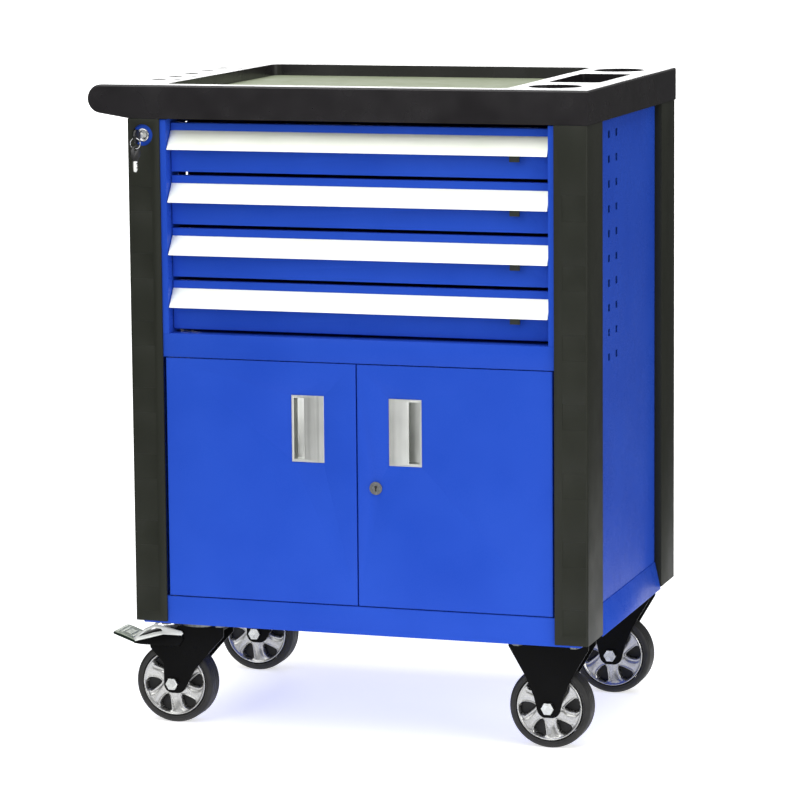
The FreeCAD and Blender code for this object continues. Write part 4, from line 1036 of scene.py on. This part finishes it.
plate(
    "spare_key_head", key_head(), stand_spare, -HEAD_HALF, HEAD_HALF,
    MATERIALS["key_plastic"], "spare_key_on_ring",
)
spare_blade = head_height - ring_low.z - BLADE_AT - TIP_ROOM
plate(
    "spare_key_blade", key_blade(spare_blade), stand_spare, -BLADE_HALF, BLADE_HALF,
    BRIGHT_NICKEL, "spare_key_on_ring", round_off=0.2 * MM,
)
print("spare key blade", round(spare_blade / MM, 1), "mm long")

# %% [markdown]
# ## Bent and moulded edges
#
# Sheet metal bends round a radius, and a mould can't make a knife edge. On the working
# model those edges are sharp, and a sharp edge never catches the light. For the pieces
# that face the camera, a copy of the working piece has its edges rounded by a fraction
# of a millimetre, which draws the thin bright lines that tell the eye how big it is.

# %% Rounded copies
SHARP = math.radians(40)
FLAT = math.radians(1)


def rounded_copy(node, width):
    """A copy of a working piece with its sharper edges rounded inwards."""
    mesh = frame["nodes"][node].data.copy()
    builder = bmesh.new()
    builder.from_mesh(mesh)
    bmesh.ops.remove_doubles(builder, verts=builder.verts, dist=0.005 * MM)
    bmesh.ops.dissolve_limit(builder, angle_limit=FLAT, verts=builder.verts, edges=builder.edges)
    builder.to_mesh(mesh)
    builder.free()
    piece = bpy.data.objects.new(f"rounded_{node}", mesh)
    bpy.context.scene.collection.objects.link(piece)
    bevel = piece.modifiers.new("edge_radius", "BEVEL")
    bevel.width = width
    bevel.segments = 2
    bevel.limit_method = "ANGLE"
    bevel.angle_limit = SHARP
    bevel.miter_outer = "MITER_ARC"
    bpy.context.view_layer.update()
    shaped = piece.evaluated_get(bpy.context.evaluated_depsgraph_get())
    finished = bpy.data.meshes.new_from_object(shaped)
    piece.modifiers.clear()
    piece.data = finished
    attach(piece, BODY_OF[node])
    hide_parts(node)
    smooth_by_angle(piece, 30)
    return piece


print("edges sharper than", round(math.degrees(SHARP)), "degrees are rounded")

# %% [markdown]
# ## How round each edge is
#
# The thick shelf rail has the widest bend, the thin nickel pulls the smallest. A bevel
# only takes material away, and the printed figure shows that no piece outgrew its box.

# %% Edge radii
ROUNDED = {f"post_{end}_{side}": 0.8 * MM for end in ("front", "rear") for side in ("left", "right")}
ROUNDED["divider_shelf"] = 1.2 * MM
ROUNDED["base_pan"] = 1.0 * MM
for side in ("left", "right"):
    ROUNDED[f"door_{side}_panel"] = 0.7 * MM
    ROUNDED[f"door_{side}_pull"] = 0.4 * MM
for number in (1, 2, 3, 4):
    ROUNDED[f"drawer_{number}_handle"] = 0.5 * MM
    ROUNDED[f"drawer_{number}_box"] = 0.6 * MM
for node, width in ROUNDED.items():
    piece = rounded_copy(node, width)
    low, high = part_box(node)
    corners = [piece.matrix_world @ Vector(corner) for corner in piece.bound_box]
    spill = max(max(*(low - corner), *(corner - high)) for corner in corners)
    print(node, len(piece.data.polygons), "faces, outside its box by", round(spill / MM, 3), "mm")

# %% [markdown]
# ## The view
#
# The chest is seen from a little above and to its right. These angles come before the
# stage, because the paper is laid square to the view.

# %% Viewing angles
AZIMUTH = math.radians(17.8)
ELEVATION = math.radians(7.83)
TILT = math.radians(-0.49)
AWAY = Vector((-math.sin(AZIMUTH), math.cos(AZIMUTH), 0))
ACROSS = Vector((math.cos(AZIMUTH), math.sin(AZIMUTH), 0))
print("the view looks along", [round(v, 3) for v in AWAY])

# %% [markdown]
# ## Matt surfaces of the stage
#
# Seamless paper and a painted floor are both matt. They are made with the same two
# helpers as the chest: patches nearly a metre wide, and hardly any mirror share.

# %% Matt surfaces and sheets
def matt_surface(name, dark, light):
    """Matt paper or paint, with wide faint clouds."""
    material, shader = new_material(name, {"IOR": 1.45, "Specular IOR Level": 0.1})
    cloud = drift(material, 0.8, 0, 1)
    finish(material, shader, (dark, light), cloud, drift(material, 0.3, 0.75, 0.85), [])
    return material, shader


def stage_sheet(name, rows, material):
    """A sheet through rows of (distance away from the camera, height, half its width)."""
    points = []
    for distance, height, half in rows:
        for side in (-half, half):
            points.append(AWAY * distance + ACROSS * side + Vector((0, 0, height)))
    faces = [(2 * i, 2 * i + 1, 2 * i + 3, 2 * i + 2) for i in range(len(rows) - 1)]
    mesh = bpy.data.meshes.new(name)
    mesh.from_pydata(points, [], faces)
    mesh.materials.append(material)
    for face in mesh.polygons:
        face.use_smooth = True
    sheet = bpy.data.objects.new(name, mesh)
    bpy.context.scene.collection.objects.link(sheet)
    print(name, "with", len(faces), "faces")


# %% [markdown]
# ## Paper and floor
#
# The chest stands on white paper that runs back and curves up into a wall, as in a
# product studio, with a grey floor around it. The paper is cut narrow beside the chest,
# so that the right side mirrors the grey floor and its blue stays deep. The paper glows
# by itself, which is painted light: faintly on the floor, where it lightens the chest's
# shadow, and more so the higher it goes, and the tray's rim mirrors that glowing wall.

# %% Paper and floor
PAPER_FRONT = -5.0
FRONT_HALF = 1.5
WAIST = -0.4
WAIST_HALF = 0.6
PAPER_BEND = 5.4
BEND_RADIUS = 1.2
BEND_STEPS = 24
WALL_HALF = 1.5
PAPER_TOP = 4.5
GLOW_TOP = 1.6
GLOW = (0.6, 2.9)
FLOOR_HALF = 100
FLOOR_DROP = -0.02

paper, paper_shader = matt_surface("white_paper_painted_glow", "#F4F4F3", "#F9F9F9")
# The paper's emission is painted light: a glow that rises with height, with no lamp behind it.
place = add_node(paper, "TexCoord")
upright = add_node(paper, "SeparateXYZ", {0: place.outputs["Object"]})
span = {"From Max": GLOW_TOP, "To Min": GLOW[0], "To Max": GLOW[1]}
glow = add_node(paper, "MapRange", {"Value": upright.outputs[2], **span})
feed(paper_shader, {"Emission Color": linear("#FFFFFF"), "Emission Strength": glow.outputs[0]})

rows = [(PAPER_FRONT, 0, FRONT_HALF), (WAIST, 0, WAIST_HALF)]
for step in range(BEND_STEPS + 1):
    turn = math.pi / 2 * step / BEND_STEPS
    distance = PAPER_BEND + BEND_RADIUS * math.sin(turn)
    rows.append((distance, BEND_RADIUS * (1 - math.cos(turn)), WALL_HALF))
rows.append((PAPER_BEND + BEND_RADIUS, PAPER_TOP, WALL_HALF))
stage_sheet("paper_sweep", rows, paper)

grey_floor, floor_shader = matt_surface("grey_floor", "#777777", "#7F7F7F")
floor_rows = [(-FLOOR_HALF, FLOOR_DROP, FLOOR_HALF), (FLOOR_HALF, FLOOR_DROP, FLOOR_HALF)]
stage_sheet("studio_floor", floor_rows, grey_floor)

# %% [markdown]
# ## Soft lights
#
# A large lamp gives soft shadows, as a window does. The key light stands in front and to
# the left, the fill light to the right brightens the side, and a wide light overhead
# brightens the handles and the floor. The camera doesn't see the lamps themselves.

# %% Soft lights
CENTRE = (CAD_LOW + CAD_HIGH) / 2
UNDER_TOP_LIGHT = (0, -1.3, 0)
LIGHTS = (
    ("key_light", (-2.0, -5.2, 2.9), CENTRE, (3.2, 2.4), 74),
    ("fill_light", (4.2, -1.6, 1.6), CENTRE, (3.0, 2.4), 75),
    ("top_light", (0, -1.3, 4.0), UNDER_TOP_LIGHT, (6.0, 6.0), 190),
)
for name, spot, target, (wide, high), watts in LIGHTS:
    light = bpy.data.lights.new(name, "AREA")
    light.shape = "RECTANGLE"
    light.size = wide
    light.size_y = high
    light.energy = watts
    lamp = bpy.data.objects.new(name, light)
    lamp.location = spot
    lamp.rotation_euler = (Vector(target) - lamp.location).to_track_quat("-Z", "Y").to_euler()
    lamp.visible_camera = False
    bpy.context.scene.collection.objects.link(lamp)
    print(name, watts, "W")

# %% [markdown]
# ## Surroundings
#
# Beyond the stage everything is an even dim white, which lifts the shadows a little. The
# standard view keeps the hex colours as they were written.

# %% White surroundings
SURROUND = 0.24
world = bpy.data.worlds.new("white_studio")
world.use_nodes = True
backdrop = world.node_tree.nodes["Background"]
feed(backdrop, {"Color": linear("#FFFFFF"), "Strength": SURROUND})
bpy.context.scene.world = world
bpy.context.scene.view_settings.view_transform = "Standard"
print("surroundings", world.name, SURROUND)

# %% [markdown]
# ## The camera
#
# A long lens from five metres keeps the chest's uprights almost parallel. A small
# downward shift of the lens does the rest of that work, as it does on a view camera.

# %% Camera
DISTANCE = 4.9
LOOK_AT = Vector((0.0168, 0, 0.5036))
SENSOR = 36
FOCAL_WIDTHS = 4.58
SHIFT = -0.075

lens = bpy.data.cameras.new("portrait_camera")
lens.sensor_width = SENSOR
lens.lens = FOCAL_WIDTHS * SENSOR
lens.shift_y = SHIFT
camera = bpy.data.objects.new("portrait_camera", lens)
back = -AWAY * math.cos(ELEVATION) + Vector((0, 0, math.sin(ELEVATION)))
camera.location = LOOK_AT + back * DISTANCE
level = (-back).to_track_quat("-Z", "Y").to_matrix()
camera.rotation_euler = (level @ Matrix.Rotation(TILT, 3, "Z")).to_euler()
bpy.context.scene.collection.objects.link(camera)
bpy.context.scene.camera = camera
print("camera at", [round(v, 3) for v in camera.location], "lens", round(lens.lens, 1), "mm")
